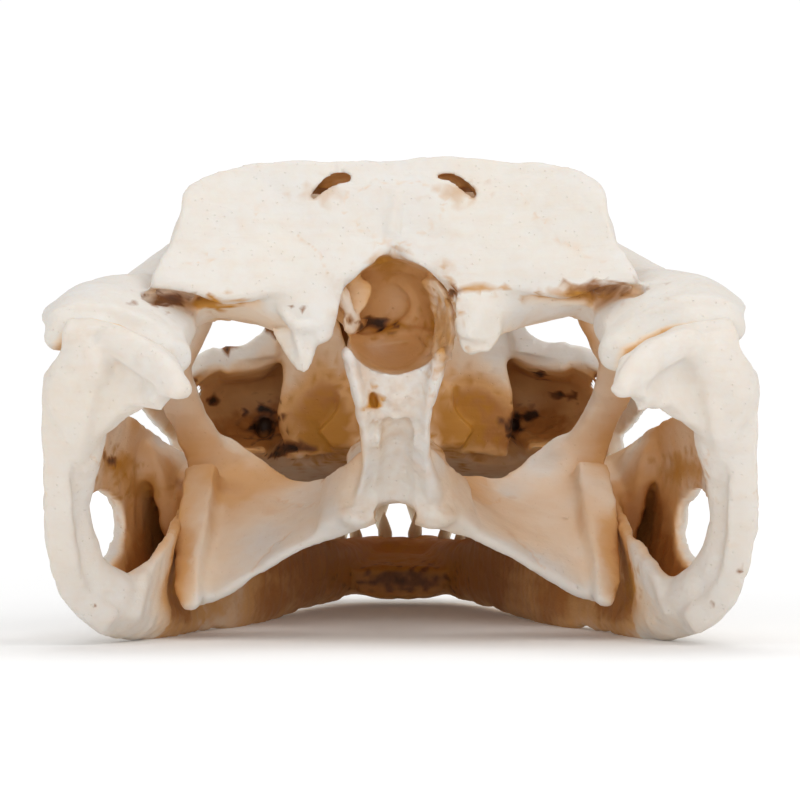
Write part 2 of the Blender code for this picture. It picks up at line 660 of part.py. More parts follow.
def cranium(row):
    """The cranium, with holes for the teeth that are nodes and the rest of the row grown on."""
    body = mesh_object("snout", *joined(snout(), both_sides=False))
    melt(body)
    cut(body, snout_hollows())
    skull = mesh_object("cranium", *joined(cranium_shapes()))
    melt(skull)
    cut(skull, cranium_hollows())
    bm = bmesh.new()
    bm.from_mesh(skull.data)
    bm.from_mesh(body.data)
    small = mesh_object("small_teeth", *joined([tooth(*item) for item in row[UPPER_NODES:]]))
    bm.from_mesh(small.data)
    bm.to_mesh(skull.data)
    bm.free()
    bpy.data.objects.remove(body)
    bpy.data.objects.remove(small)
    melt(skull)
    soften(skull, 4)
    thin_out(skull, CRANIUM_TRIANGLES)
    cut(skull, [socket(item[0], item[2], item[3]) for item in row[:UPPER_NODES]], melted=False)
    for vert in skull.data.vertices:
        vert.co = [c * MM for c in set_cranium([c / MM for c in vert.co])]
    return skull


def mandible(row, skull):
    """The lower jaw, with a flat cut off its underside and room for the cranium's joints and wings."""
    small = [tooth(*item) for item in row[LOWER_NODES:]]
    jaw = mesh_object("mandible", *joined(jaw_shapes() + small))
    melt(jaw)
    cut(jaw, jaw_hollows())
    soften(jaw, 4)
    lowest = min(vert.co.z for vert in jaw.data.vertices) / MM
    corners = [(-90, -150), (90, -150), (90, 150), (-90, 150)]
    table = loft([[(x, y, z) for x, y in corners] for z in (lowest - 20, lowest + FLAT_UNDERSIDE)])
    thin_out(jaw, JAW_TRIANGLES)
    cut(jaw, [table], both_sides=False, melted=False)
    cut(jaw, [socket(item[0], item[2], item[3]) for item in row[:LOWER_NODES]], melted=False)
    return clear_of(jaw, skull, JOINT_GAP)


def tooth_objects(jaw_name, row, enamel, lay):
    """A node for each tooth of a row, on both sides."""
    for side, side_name in ((1, "right"), (-1, "left")):
        for number, (place, height, radius, way, lean) in enumerate(row, start=1):
            verts, faces = tooth((0, 0, 0), height, radius, way, lean)
            verts = verts * (side, 1, 1)
            if side < 0:
                faces = [tuple(reversed(face)) for face in faces]
            obj = mesh_object(f"tooth_{jaw_name}_{side_name}_{number:02d}", verts, faces)
            obj.location = [c * MM for c in lay(mirrored(place, side))]
            obj.data.materials.append(enamel)


def main():
    for old in list(bpy.data.objects):
        bpy.data.objects.remove(old)
    bone = material("bone", (0.80, 0.74, 0.65), 0.55)
    enamel = material("enamel", (0.86, 0.82, 0.72), 0.3)
    upper_edge = [(0, SNOUT_TIP_Y + 1.0, 23.0)] + [station[1::-1] + (station[2],) for station in reversed(SNOUT)]
    lower_edge = [(0, JAW_TIP_Y, 15.2)] + [station[1::-1] + (station[3],) for station in reversed(JAW[1:])]
    upper_row = tooth_row(upper_edge, 2.2, UPPER_HEIGHTS, 1.6, 4.0, -1, 0.8)
    lower_row = tooth_row(lower_edge, 2.9, LOWER_HEIGHTS, 1.2, 6.0, 1, 0.4)
    skull = cranium(upper_row)
    jaw = mandible(lower_row, skull)
    skull.data.materials.append(bone)
    jaw.data.materials.append(bone)
    tooth_objects("upper", upper_row[:UPPER_NODES], enamel, set_cranium)
    tooth_objects("lower", lower_row[:LOWER_NODES], enamel, lambda place: place)
    bpy.context.view_layer.update()
    corners = np.array([obj.matrix_world @ vert.co for obj in bpy.data.objects for vert in obj.data.vertices])
    middle = (corners.min(axis=0) + corners.max(axis=0)) / 2
    for obj in bpy.data.objects:
        obj.location.x -= middle[0]
        obj.location.y -= middle[1]
        obj.location.z -= corners[:, 2].min()


main()
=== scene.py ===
"""The looks of a spectacled caiman skull with its lower jaw in place, at life size.

The snout points along +Y and +X is the animal's right. Most of the back of the skull is drawn on
a sheet, as an eye behind the skull sees it: a point there is counted in squares, right and up
from the eye's level, and gets a depth in millimetres along Y. The rest is drawn in millimetres.
"""

import logging
import math
from dataclasses import dataclass, field
from enum import Enum

import bmesh
import bpy
import numpy as np
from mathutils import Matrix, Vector
from mathutils.bvhtree import BVHTree
from mathutils.kdtree import KDTree


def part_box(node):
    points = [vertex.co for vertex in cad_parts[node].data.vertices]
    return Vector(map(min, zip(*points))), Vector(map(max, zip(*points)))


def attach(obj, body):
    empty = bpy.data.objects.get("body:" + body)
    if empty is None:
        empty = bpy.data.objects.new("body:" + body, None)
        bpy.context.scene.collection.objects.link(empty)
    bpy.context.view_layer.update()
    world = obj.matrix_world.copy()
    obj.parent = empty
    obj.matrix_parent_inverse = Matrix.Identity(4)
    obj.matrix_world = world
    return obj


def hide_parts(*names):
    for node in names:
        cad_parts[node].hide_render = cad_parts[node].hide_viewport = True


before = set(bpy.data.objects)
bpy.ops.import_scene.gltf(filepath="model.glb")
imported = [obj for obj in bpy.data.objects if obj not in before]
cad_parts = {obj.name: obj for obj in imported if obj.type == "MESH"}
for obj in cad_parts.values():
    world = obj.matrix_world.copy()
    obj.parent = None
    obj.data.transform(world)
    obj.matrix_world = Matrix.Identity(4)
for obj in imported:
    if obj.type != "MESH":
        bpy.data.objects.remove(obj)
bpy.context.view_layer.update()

LOG = logging.getLogger("skull")
MM = 0.001

Pair = tuple[float, float]
Place = tuple[float, float, float]
Shape = tuple[np.ndarray, list[tuple[int, ...]]]
Color = tuple[float, float, float]


class Side(Enum):
    """A side of the animal, as the sign of X."""

    RIGHT = 1
    LEFT = -1


class Facing(Enum):
    """The side that a drawn line or mark is seen from."""

    ABOVE = "above"
    BELOW = "below"
    BESIDE = "beside"
    BEHIND = "behind"


class Mark(Enum):
    """A kind of mark: a stain, spongy bone or painted shade, which is also the name of its attribute on a
    mesh.
    """

    # Old stains; on the orbit floors, at the back of the chin and on the jaws' inner walls it is painted
    # brown shade
    AMBER = "amber"
    # Dark stains, and painted shade in holes, cracks and under the plate's ledges
    DARK = "dark"
    SPONGE = "sponge"
    # Painted shade, added to or taken from the closed-in measure
    SHADE = "shade"


@dataclass(frozen=True)
class Sheet:
    """The sheet that the back of the skull is drawn on.

    Args:
        square: The side of a square, in millimetres.
        eye_y: Where the eye is behind the skull, in millimetres.
        eye_z: The height of the eye, in millimetres.
        to_eye: The way from the eye to the sheet, in millimetres.
    """

    square: float = 0.2
    eye_y: float = -945.0
    eye_z: float = 43.8
    to_eye: float = 980.0

    def place(self, across: float, up: float, y: float) -> Place:
        """A sheet point at depth y, as a place in millimetres."""
        spread = (y - self.eye_y) / self.to_eye * self.square
        return (across * spread, y, self.eye_z + up * spread)

    def line(self, points: list[Place]) -> list[Place]:
        """A line of sheet points as places."""
        return [self.place(*point) for point in points]

    def drawn(self, rows: list[list[Place]]) -> list[list[Place]]:
        """Rows of sheet points as rows of places."""
        return [self.line(row) for row in rows]

    def seen(self, places: np.ndarray) -> np.ndarray:
        """The sheet points, in squares, that the eye sees the places at."""
        spread = (places[:, 1] - self.eye_y) / self.to_eye * self.square
        return np.stack([places[:, 0] / spread, (places[:, 2] - self.eye_z) / spread], axis=1)


SHEET = Sheet()
# The way from the eye to the skull
AWAY = (0.0, 1.0, 0.0)
# How much smaller a square is at the back plate than on the sheet
PLATE_SHRINK = 0.88


def curve_through(points: list | np.ndarray, steps: int) -> np.ndarray:
    """A smooth curve through points.

    Args:
        points: The points, of any number of values each.
        steps: How many stretches lie between each two.

    Returns:
        The points of the curve, the given ones among them.
    """
    p = np.asarray(points, dtype=float)
    if len(p) < 3:
        t = np.linspace(0, 1, steps + 1)[:, None]
        return p[0] * (1 - t) + p[1] * t
    p = np.concatenate([[2 * p[0] - p[1]], p, [2 * p[-1] - p[-2]]])
    out = []
    for i in range(len(p) - 3):
        a, b, c, d = p[i : i + 4]
        for t in np.arange(steps) / steps:
            bend = 2 * a - 5 * b + 4 * c - d
            out.append(0.5 * (2 * b + (c - a) * t + bend * t**2 + (3 * b - a - 3 * c + d) * t**3))
    out.append(p[-2])
    return np.array(out)


def grid_faces(n: int, m: int) -> list[tuple[int, ...]]:
    """The quads of an n by m grid of points."""
    corners = [(i * m + j, (i + 1) * m + j) for i in range(n - 1) for j in range(m - 1)]
    return [(a, b, b + 1, a + 1) for a, b in corners]


def plate(rows: list, thick: float | tuple[float, ...], steps: int = 6) -> Shape:
    """A curved plate of bone.

    Args:
        rows: Rows of places that its middle goes through.
        thick: Its thickness in millimetres, one value or one for each row.
        steps: How many stretches lie between each two places.

    Returns:
        The plate as a closed shape.
    """
    thick = np.broadcast_to(np.asarray(thick, dtype=float).reshape(-1, 1), (len(rows), len(rows[0])))
    grid = np.concatenate([np.array(rows, dtype=float), thick[:, :, None]], axis=2)
    across = np.array([curve_through(row, steps) for row in grid])
    fine = np.array([curve_through(across[:, j], steps) for j in range(across.shape[1])]).transpose(1, 0, 2)
    n, m = fine.shape[:2]
    place = fine[:, :, :3]
    normal = np.cross(np.gradient(place, axis=0), np.gradient(place, axis=1))
    normal /= np.maximum(np.linalg.norm(normal, axis=2, keepdims=True), 1e-9)
    half = np.maximum(fine[:, :, 3:], 0.4) / 2
    verts = np.concatenate([(place + normal * half).reshape(-1, 3), (place - normal * half).reshape(-1, 3)])
    top = grid_faces(n, m)
    faces = top + [tuple(n * m + k for k in reversed(face)) for face in top]
    edge = [(0, j) for j in range(m)] + [(i, m - 1) for i in range(1, n)]
    edge += [(n - 1, j) for j in range(m - 2, -1, -1)] + [(i, 0) for i in range(n - 2, 0, -1)]
    ring = [i * m + j for i, j in edge]
    faces += [(a, b, b + n * m, a + n * m) for a, b in zip(ring, ring[1:] + ring[:1])]
    return verts, faces


def loft(rings: list | np.ndarray) -> Shape:
    """A closed body through rings of places that have the same number of points."""
    n, m = len(rings), len(rings[0])
    verts = np.array(rings, dtype=float).reshape(-1, 3)
    faces = []
    for i in range(n - 1):
        for j in range(m):
            k = (j + 1) % m
            faces.append((i * m + j, i * m + k, (i + 1) * m + k, (i + 1) * m + j))
    faces.append(tuple(reversed(range(m))))
    faces.append(tuple((n - 1) * m + j for j in range(m)))
    return verts, faces


def bar(points: list[Place], sizes: list, up: Place = (0, 0, 1), sides: int = 12, steps: int = 6) -> Shape:
    """A rounded bar of bone.

    Args:
        points: The places that its middle goes through.
        sizes: For each place the half width across up and the half width along it, or one for both.
        up: The way that the second half width is measured along.
        sides: How many sides the bar has.
        steps: How many stretches lie between each two places.

    Returns:
        The bar as a closed shape with rounded ends.
    """
    sizes = [size if isinstance(size, tuple) else (size, size) for size in sizes]
    path = curve_through([tuple(p) + s for p, s in zip(points, sizes)], steps)
    place, size = path[:, :3], np.maximum(path[:, 3:], 0.25)
    along = np.gradient(place, axis=0)
    side = np.cross(np.broadcast_to(np.array(up, dtype=float), along.shape), along)
    side /= np.maximum(np.linalg.norm(side, axis=1, keepdims=True), 1e-9)
    rise = np.cross(along, side)
    rise /= np.maximum(np.linalg.norm(rise, axis=1, keepdims=True), 1e-9)
    turn = np.arange(sides) / sides * math.tau
    rings = [
        p + np.outer(np.cos(turn) * w, s) + np.outer(np.sin(turn) * h, r)
        for p, (w, h), s, r in zip(place, size, side, rise)
    ]
    first, last = rings[0], rings[-1]
    step = along[0] / np.linalg.norm(along[0]) * size[0].min()
    end = along[-1] / np.linalg.norm(along[-1]) * size[-1].min()
    rings = [shrunk(first, 0.35) - step * 0.9, shrunk(first, 0.8) - step * 0.6] + rings
    rings += [shrunk(last, 0.8) + end * 0.6, shrunk(last, 0.35) + end * 0.9]
    return loft(rings)


def shrunk(ring: np.ndarray, scale: float) -> np.ndarray:
    """A ring of places drawn in towards its middle."""
    middle = ring.mean(axis=0)
    return middle + (ring - middle) * scale


def lump(centre: Place, radii: Place, turn: float = 0.0) -> Shape:
    """An egg-shaped body, turned about its long way seen from behind."""
    bm = bmesh.new()
    bmesh.ops.create_icosphere(bm, subdivisions=3, radius=1.0)
    verts = np.array([v.co[:] for v in bm.verts]) * radii
    faces = [tuple(v.index for v in f.verts) for f in bm.faces]
    bm.free()
    c, s = math.cos(turn), math.sin(turn)
    x, z = verts[:, 0] * c - verts[:, 2] * s, verts[:, 0] * s + verts[:, 2] * c
    return np.stack([x, verts[:, 1], z], axis=1) + centre, faces


def joined(shapes: list[Shape], both_sides: bool = True) -> Shape:
    """All the shapes in one, with a mirrored copy of each on the left if wanted."""
    verts, faces, count = [], [], 0
    for points, quads in shapes:
        for side in (1, -1) if both_sides else (1,):
            verts.append(np.asarray(points) * (side, 1, 1))
            faces += [tuple(k + count for k in (quad if side > 0 else reversed(quad))) for quad in quads]
            count += len(points)
    return np.concatenate(verts), faces


def waves(places: np.ndarray, scale: float, seed: int, count: int = 14) -> np.ndarray:
    """A smooth unevenness, as a sum of waves in all directions.

    Args:
        places: The places to read it at, in millimetres.
        scale: The usual length of a wave, in millimetres.
        seed: Which unevenness it is.
        count: How many waves are summed.

    Returns:
        One value for each place, mostly between -1 and 1.
    """
    draw = np.random.default_rng(seed)
    ways = draw.normal(size=(count, 3))
    ways /= np.linalg.norm(ways, axis=1, keepdims=True)
    ways *= math.tau / (scale * draw.uniform(0.6, 1.5, size=(count, 1)))
    start = draw.uniform(0, math.tau, size=count)
    return np.sin(places @ ways.T + start).sum(axis=1) / math.sqrt(count)


def fade(values: np.ndarray, low: float, high: float) -> np.ndarray:
    """0 at low and 1 at high, smoothly between them."""
    t = np.clip((values - low) / (high - low), 0, 1)
    return t * t * (3 - 2 * t)


def way_to_line(points: np.ndarray, line: np.ndarray) -> np.ndarray:
    """How far each flat point is from a line of flat points."""
    best = np.full(len(points), 1e9)
    for a, b in zip(line[:-1], line[1:]):
        along = b - a
        t = np.clip(((points - a) @ along) / max(along @ along, 1e-9), 0, 1)
        best = np.minimum(best, np.linalg.norm(points - a - t[:, None] * along, axis=1))
    return best


class Casting:
    """A mesh at work, in millimetres from the skull's drawing frame.

    Args:
        name: The name of its object.
        shape: What it starts from.
    """

    def __init__(self, name: str, shape: Shape) -> None:
        """Make the object in the scene."""
        mesh = bpy.data.meshes.new(name)
        mesh.from_pydata((np.asarray(shape[0]) * MM).tolist(), [], shape[1])
        mesh.update()
        self.obj = bpy.data.objects.new(name, mesh)
        bpy.context.scene.collection.objects.link(self.obj)

    def settle(self, one_body: bool = True) -> "Casting":
        """Put the modifiers into the mesh, and keep only the largest body if wanted."""
        graph = bpy.context.evaluated_depsgraph_get()
        mesh = bpy.data.meshes.new_from_object(self.obj.evaluated_get(graph))
        self.obj.modifiers.clear()
        self.obj.data = mesh
        if one_body:
            self.keep_largest()
        return self

    def keep_largest(self) -> None:
        """Drop every loose body but the one with the most points."""
        mesh = self.obj.data
        count = len(mesh.vertices)
        ends = np.empty(len(mesh.edges) * 2, np.int32)
        mesh.edges.foreach_get("vertices", ends)
        ends = ends.reshape(-1, 2)
        label = np.arange(count)
        while True:
            first, second = label[ends[:, 0]], label[ends[:, 1]]
            apart = first != second
            if not apart.any():
                break
            low = np.minimum(first, second)[apart]
            np.minimum.at(label, np.maximum(first, second)[apart], low)
            while (label[label] != label).any():
                label = label[label]
        found, sizes = np.unique(label, return_counts=True)
        if len(found) == 1:
            return
        keep = found[sizes.argmax()]
        bm = bmesh.new()
        bm.from_mesh(mesh)
        bm.verts.ensure_lookup_table()
        bmesh.ops.delete(bm, geom=[bm.verts[i] for i in np.flatnonzero(label != keep)], context="VERTS")
        bm.to_mesh(mesh)
        bm.free()

    def melt(self, grain: float, one_body: bool = True) -> "Casting":
        """Melt overlapping shapes into one skin of that grain, in millimetres."""
        remesh = self.obj.modifiers.new("melt", "REMESH")
        remesh.mode = "VOXEL"
        remesh.voxel_size = grain * MM
        return self.settle(one_body)

    def cut(self, shapes: list[Shape], grain: float, both_sides: bool = True) -> "Casting":
        """Take the shapes out, melted together first."""
        cutter = Casting("cutter", joined(shapes, both_sides)).melt(grain, one_body=False)
        boolean = self.obj.modifiers.new("cut", "BOOLEAN")
        boolean.operation = "DIFFERENCE"
        boolean.solver = "EXACT"
        boolean.object = cutter.obj
        self.settle()
        bpy.data.objects.remove(cutter.obj)
        return self

    def add(self, other: "Casting") -> "Casting":
        """Take in the mesh of another casting, which goes."""
        bm = bmesh.new()
        bm.from_mesh(self.obj.data)
        bm.from_mesh(other.obj.data)
        bm.to_mesh(self.obj.data)
        bm.free()
        bpy.data.objects.remove(other.obj)
        return self

    def soften(self, times: int) -> "Casting":
        """Smooth the skin a number of times."""
        smooth = self.obj.modifiers.new("soften", "SMOOTH")
        smooth.factor = 0.5
        smooth.iterations = times
        return self.settle(one_body=False)

    def thin_out(self, triangles: int) -> "Casting":
        """Keep about this number of triangles."""
        count = sum(len(face.vertices) - 2 for face in self.obj.data.polygons)
        LOG.info("%s has %d triangles before it is thinned out", self.obj.name, count)
        decimate = self.obj.modifiers.new("thin", "DECIMATE")
        decimate.ratio = min(1.0, triangles / count)
        return self.settle()

    def places(self) -> np.ndarray:
        """The places of its points, in millimetres."""
        out = np.empty(len(self.obj.data.vertices) * 3, np.float32)
        self.obj.data.vertices.foreach_get("co", out)
        return out.reshape(-1, 3).astype(float) / MM

    def move_to(self, places: np.ndarray) -> None:
        """Move its points to the places, in millimetres."""
        self.obj.data.vertices.foreach_set("co", (places * MM).astype(np.float32).ravel())
        self.obj.data.update()

    def normals(self) -> np.ndarray:
        """The ways that its points face."""
        out = np.empty(len(self.obj.data.vertices) * 3, np.float32)
        self.obj.data.vertex_normals.foreach_get("vector", out)
        return out.reshape(-1, 3).astype(float)

    def mark(self, name: str, values: np.ndarray) -> None:
        """Keep one value for each point as an attribute of that name."""
        found = self.obj.data.attributes.get(name)
        layer = found or self.obj.data.attributes.new(name, "FLOAT", "POINT")
        layer.data.foreach_set("value", np.clip(values, 0, 1).astype(np.float32))

    def spread(self, values: np.ndarray, times: int) -> np.ndarray:
        """Even out one value for each point with its neighbours, a number of times."""
        mesh = self.obj.data
        ends = np.empty(len(mesh.edges) * 2, np.int32)
        mesh.edges.foreach_get("vertices", ends)
        a, b = ends.reshape(-1, 2).T
        count = np.bincount(a, minlength=len(values)) + np.bincount(b, minlength=len(values)) + 1
        for _ in range(times):
            total = np.bincount(a, values[b], len(values)) + np.bincount(b, values[a], len(values))
            values = (total + values) / count
        return values


@dataclass(frozen=True)
class Seam:
    """A line where two bones meet, or a hairline crack.

    Args:
        facing: The side that it is drawn from.
        points: Its points: x and y from above and below, y and z from beside, squares from behind.
        width: Half its width in millimetres.
        depth: How deep it is in millimetres.
        wobble: How far it strays from its points, in millimetres.
        both_sides: Whether the left side has it too.
    """

    facing: Facing
    points: tuple[Pair, ...]
    width: float = 0.22
    depth: float = 0.16
    wobble: float = 0.5
    both_sides: bool = True

    def faces(self, normals: np.ndarray, places: np.ndarray) -> np.ndarray:
        """How much each point faces the side that the seam is drawn from."""
        if self.facing in (Facing.ABOVE, Facing.BELOW):
            return normals[:, 2] * (1 if self.facing is Facing.ABOVE else -1)
        if self.facing is Facing.BESIDE:
            return normals[:, 0] * np.sign(places[:, 0])
        return -normals[:, 1]

    def strength(self, places: np.ndarray, faces: np.ndarray, stray: np.ndarray) -> np.ndarray:
        """How much of the seam each place has, from 0 to 1."""
        line = curve_through(self.points, 5)
        x = np.abs(places[:, 0]) if self.both_sides else places[:, 0]
        if self.facing in (Facing.ABOVE, Facing.BELOW):
            flat = np.stack([x, places[:, 1]], axis=1)
        elif self.facing is Facing.BESIDE:
            flat = places[:, 1:]
        else:
            seen = SHEET.seen(places)
            flat = np.stack([np.abs(seen[:, 0]) if self.both_sides else seen[:, 0], seen[:, 1]], axis=1)
            flat = flat * SHEET.square * PLATE_SHRINK
            line = line * SHEET.square * PLATE_SHRINK
        near = way_to_line(flat + stray * self.wobble, line)
        return np.exp(-((near / self.width) ** 2)) * fade(faces, 0.1, 0.4)


@dataclass(frozen=True)
class Patch:
    """A patch of stain, of painted shade or of spongy bone, as the eye behind the skull sees it.

    Args:
        mark: The kind of patch.
        centre: Its middle, in squares.
        size: Its half width and half height, in squares.
        depth: The range of depths that it lies in, in millimetres.
        strength: How strong it is, from 0 to 1.
    """

    mark: Mark
    centre: Pair
    size: Pair
    depth: Pair = (-125.0, -60.0)
    strength: float = 1.0

    def weigh(self, places: np.ndarray, ragged: np.ndarray, facing: np.ndarray | float = 1.0) -> np.ndarray:
        """How much of the patch each place has, from 0 to 1, less where it faces away from the eye."""
        away = (SHEET.seen(places) - self.centre) / self.size
        inside = (places[:, 1] > self.depth[0]) & (places[:, 1] < self.depth[1])
        reach = (away**2).sum(axis=1) * (1 + 0.75 * np.clip(ragged, -1, 1))
        return np.exp(-(reach**1.5)) * inside * facing * self.strength


def patches_on_both_sides(mark: Mark, centre: Pair, size: Pair, depth: Pair, strength: float) -> list[Patch]:
    """The same patch, of stain or of painted shade, on the left and on the right.

    Args:
        mark: The kind of patch.
        centre: The middle of the right one, in squares.
        size: Its half width and half height, in squares.
        depth: The range of depths that it lies in, in millimetres.
        strength: How strong it is.

    Returns:
        The left patch and the right one.
    """
    across, up = centre
    return [Patch(mark, (sign * across, up), size, depth, strength) for sign in (-1, 1)]


@dataclass
class Relief:
    """The relief of a bone: unevenness, pits, sponge, seams and swellings around the teeth.

    Args:
        uneven: How uneven the bone is, in millimetres.
        pit_depth: How deep the pits of the sculptured bone are, in millimetres.
        pit_spacing: The way between pits, in millimetres.
        sponge_depth: How rough the spongy bone is, in millimetres.
        seed: Which relief it is.
    """

    uneven: float = 0.22
    pit_depth: float = 0.42
    pit_spacing: float = 3.1
    sponge_depth: float = 0.34
    seed: int = 5

    def pits(self, places: np.ndarray, weight: np.ndarray) -> np.ndarray:
        """How deep the pits are at each place, from 0 to 1."""
        draw = np.random.default_rng(self.seed)
        there = np.flatnonzero(weight > 0.2)
        seeds: list[int] = []
        chosen = draw.permutation(there)[: len(there) // 12]
        cells: dict[tuple[int, ...], list[int]] = {}
        for index in chosen:
            cell = tuple(np.floor(places[index] / self.pit_spacing).astype(int))
            around = (tuple(np.add(cell, step)) for step in np.ndindex(3, 3, 3))
            near = [k for other in around for k in cells.get(tuple(np.subtract(other, (1, 1, 1))), [])]
            if all(np.linalg.norm(places[k] - places[index]) > self.pit_spacing for k in near):
                cells.setdefault(cell, []).append(int(index))
                seeds.append(int(index))
        tree = KDTree(len(seeds))
        for number, index in enumerate(seeds):
            tree.insert(places[index], number)
        tree.balance()
        sizes = draw.uniform(0.28, 0.5, size=max(len(seeds), 1)) * self.pit_spacing
        out = np.zeros(len(places))
        for index in there:
            _, number, away = tree.find(places[index])
            out[index] = math.exp(-((away / sizes[number]) ** 3))
        return out * weight

    def apply(
        self,
        casting: Casting,
        sculptured: np.ndarray,
        spongy: np.ndarray,
        seams: list[Seam],
        bulges: list[Place],
    ) -> None:
        """Move the skin of a casting to this relief.

        Args:
            casting: The bone.
            sculptured: How much each point belongs to the pitted outer bone.
            spongy: How much each point belongs to spongy or broken bone.
            seams: The lines where its bones meet.
            bulges: The places of its teeth, where the bone swells.
        """
        places, normals = casting.places(), casting.normals()
        rise = self.uneven * (waves(places, 16, self.seed) + 0.5 * waves(places, 6, self.seed + 1))
        rise += 0.10 * self.uneven * waves(places, 2.2, self.seed + 2)
        rise -= self.pit_depth * self.pits(places, sculptured)
        rough = waves(places, 1.9, self.seed + 3) + 0.6 * waves(places, 1.1, self.seed + 4)
        rise -= self.sponge_depth * spongy * fade(rough, -0.1, 1.2)
        lines = np.zeros(len(places))
        stray = np.stack([waves(places, 2.6, 31), waves(places, 2.6, 32)], axis=1)
        for seam in seams:
            faces = seam.faces(normals, places)
            there = np.flatnonzero(faces > 0.1)
            strength = seam.strength(places[there], faces[there], stray[there])
            rise[there] -= seam.depth * strength
            lines[there] = np.maximum(lines[there], strength)
        for place in bulges:
            away = np.linalg.norm((places - place) / (2.2, 2.2, 4.0), axis=1)
            rise += 0.55 * np.exp(-(away**2)) * fade(np.abs(normals[:, 0]) + np.abs(normals[:, 1]), 0.3, 0.8)
        casting.move_to(places + normals * rise[:, None])
        casting.mark("seam", lines)
        casting.mark(Mark.SPONGE.value, spongy)


@dataclass
class ToothRow:
    """The teeth of one jaw on the right side, with their twins on the left.

    Args:
        jaw: The jaw's name in the names of the nodes.
        edge: The outer edge that they follow, from the tip backwards.
        inset: How far in from the edge they stand, in millimetres.
        heights: Their heights from front to back, in millimetres.
        start: The way along the edge to the first one.
        end: The way left behind the last one.
        way: 1 where they point up, -1 where they point down.
        lean: How far a tip leans outwards, in millimetres.
        nodes: How many of them are nodes of the frame.
        root_depth: How deep they sit in the bone, in millimetres.
        girth: How stout they are.
        sides: How many sides a tooth has.
        rings: How many rings a tooth has.
    """

    jaw: str
    edge: list[Place]
    inset: float
    heights: tuple[float, ...]
    start: float
    end: float
    way: int
    lean: float
    nodes: int
    root_depth: float = 2.4
    girth: float = 0.95
    sides: int = 20
    rings: int = 14

    def line(self) -> np.ndarray:
        """The line that the teeth stand on."""
        fine = curve_through(self.edge, 16)
        along = np.gradient(fine[:, :2], axis=0)
        along /= np.linalg.norm(along, axis=1, keepdims=True)
        inwards = np.stack([along[:, 1], -along[:, 0]], axis=1)
        fine[:, :2] += inwards * self.inset
        return fine[fine[:, 0] > 1.6]

    def roots(self) -> list[Place]:
        """The places of the right teeth, from the front."""
        line = self.line()
        run = np.concatenate([[0], np.cumsum(np.linalg.norm(np.diff(line, axis=0), axis=1))])
        wanted = np.linspace(self.start, run[-1] - self.end, len(self.heights))
        return [tuple(np.interp(w, run, line[:, k]) for k in range(3)) for w in wanted]

    def radius(self, height: float) -> float:
        """The radius of a tooth of that height at its neck."""
        return self.girth * (0.75 + 0.19 * height)

    def tooth(self, height: float, seed: int) -> Shape:
        """One tooth with its root at the origin: a slim neck, a crown that curves in, and fine flutes."""
        radius = self.radius(height)
        draw = np.random.default_rng(seed)
        phase = draw.uniform(0, math.tau)
        rings = []
        for step in range(self.rings):
            t = step / (self.rings - 1)
            rise = -self.root_depth + t * (height + self.root_depth)
            crown = max(0.0, rise / height)
            girth = 0.86 + 0.14 * min(1.0, (rise + self.root_depth) / self.root_depth)
            girth *= max(0.05, (1 - crown**1.5)) ** 0.85
            out = self.lean * (1.5 * crown - 1.1 * crown**2) * 1.4
            ring = []
            for k in range(self.sides):
                turn = math.tau * k / self.sides
                flute = 1 + 0.018 * math.sin(9 * turn + phase) * (1 - crown)
                keel = 1 + 0.05 * crown * abs(math.sin(turn)) ** 8
                r = radius * girth * flute * keel
                ring.append((out + r * math.cos(turn), r * math.sin(turn) * self.way, self.way * rise))
            rings.append(ring)
        return loft(rings)

    def build(self, lay: "Lay", finish: "EnamelFinish") -> list[bpy.types.Object]:
        """Make all the teeth on both sides, each in the place of its node where it has one."""
        material = finish.material()
        made = []
        for side in Side:
            for number, (place, height) in enumerate(zip(self.roots(), self.heights), start=1):
                verts, faces = self.tooth(height, seed=number + (40 if side is Side.LEFT else 0))
                verts = verts * (side.value, 1, 1) + lay.put((place[0] * side.value, place[1], place[2]))
                if side is Side.LEFT:
                    faces = [tuple(reversed(face)) for face in faces]
                name = f"tooth_{self.jaw}_{side.name.lower()}_{number:02d}"
                tooth = Casting(f"{name}_crown", (verts, faces))
                tooth.mark("crown", np.clip((verts[:, 2] - lay.put(place)[2]) * self.way / height, 0, 1))
                tooth.obj.data.shade_smooth()
                tooth.obj.data.materials.append(material)
                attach(tooth.obj, "root")
                if number <= self.nodes:
                    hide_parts(name)
                made.append(tooth.obj)
        LOG.info("%d teeth in the %s jaw", len(made), self.jaw)
        return made


@dataclass(frozen=True)
class Lay:
    """How what is drawn comes to lie in the frame.

    Args:
        shift: The way from the drawing's origin to the frame's, in millimetres.
        roll: The roll of the cranium on the jaw, in radians.
        aside: Its shift to the right, in millimetres.
        roll_height: The height that it rolls about, in millimetres.
    """

    shift: Place = (0.0, 0.0, 0.0)
    roll: float = 0.0
    aside: float = 0.0
    roll_height: float = 55.0

    def put(self, place: Place | np.ndarray) -> np.ndarray:
        """Where a drawn place, or each row of places, comes to lie."""
        x, y, z = np.asarray(place, dtype=float).T
        c, s = math.cos(self.roll), math.sin(self.roll)
        up = z - self.roll_height
        turned = np.stack([x * c - up * s + self.aside, y, self.roll_height + x * s + up * c], axis=-1)
        return turned + self.shift


# Snout stations: y, half width, height of the tooth row and of the midline
SNOUT = (
    (-9.0, 44.0, 32.5, 67.0),
    (5.0, 41.5, 31.0, 64.5),
    (20.0, 37.2, 28.5, 59.5),
    (36.0, 33.0, 26.0, 54.0),
    (52.0, 30.6, 23.6, 49.5),
    (66.0, 28.6, 22.0, 46.0),
    (78.0, 25.2, 21.4, 43.6),
    (86.0, 22.4, 21.4, 42.5),
    (94.0, 23.4, 21.0, 42.5),
    (104.0, 23.8, 20.2, 42.0),
    (111.0, 21.2, 20.2, 39.5),
    (116.0, 15.8, 20.8, 35.5),
    (119.5, 8.0, 22.4, 30.5),
)

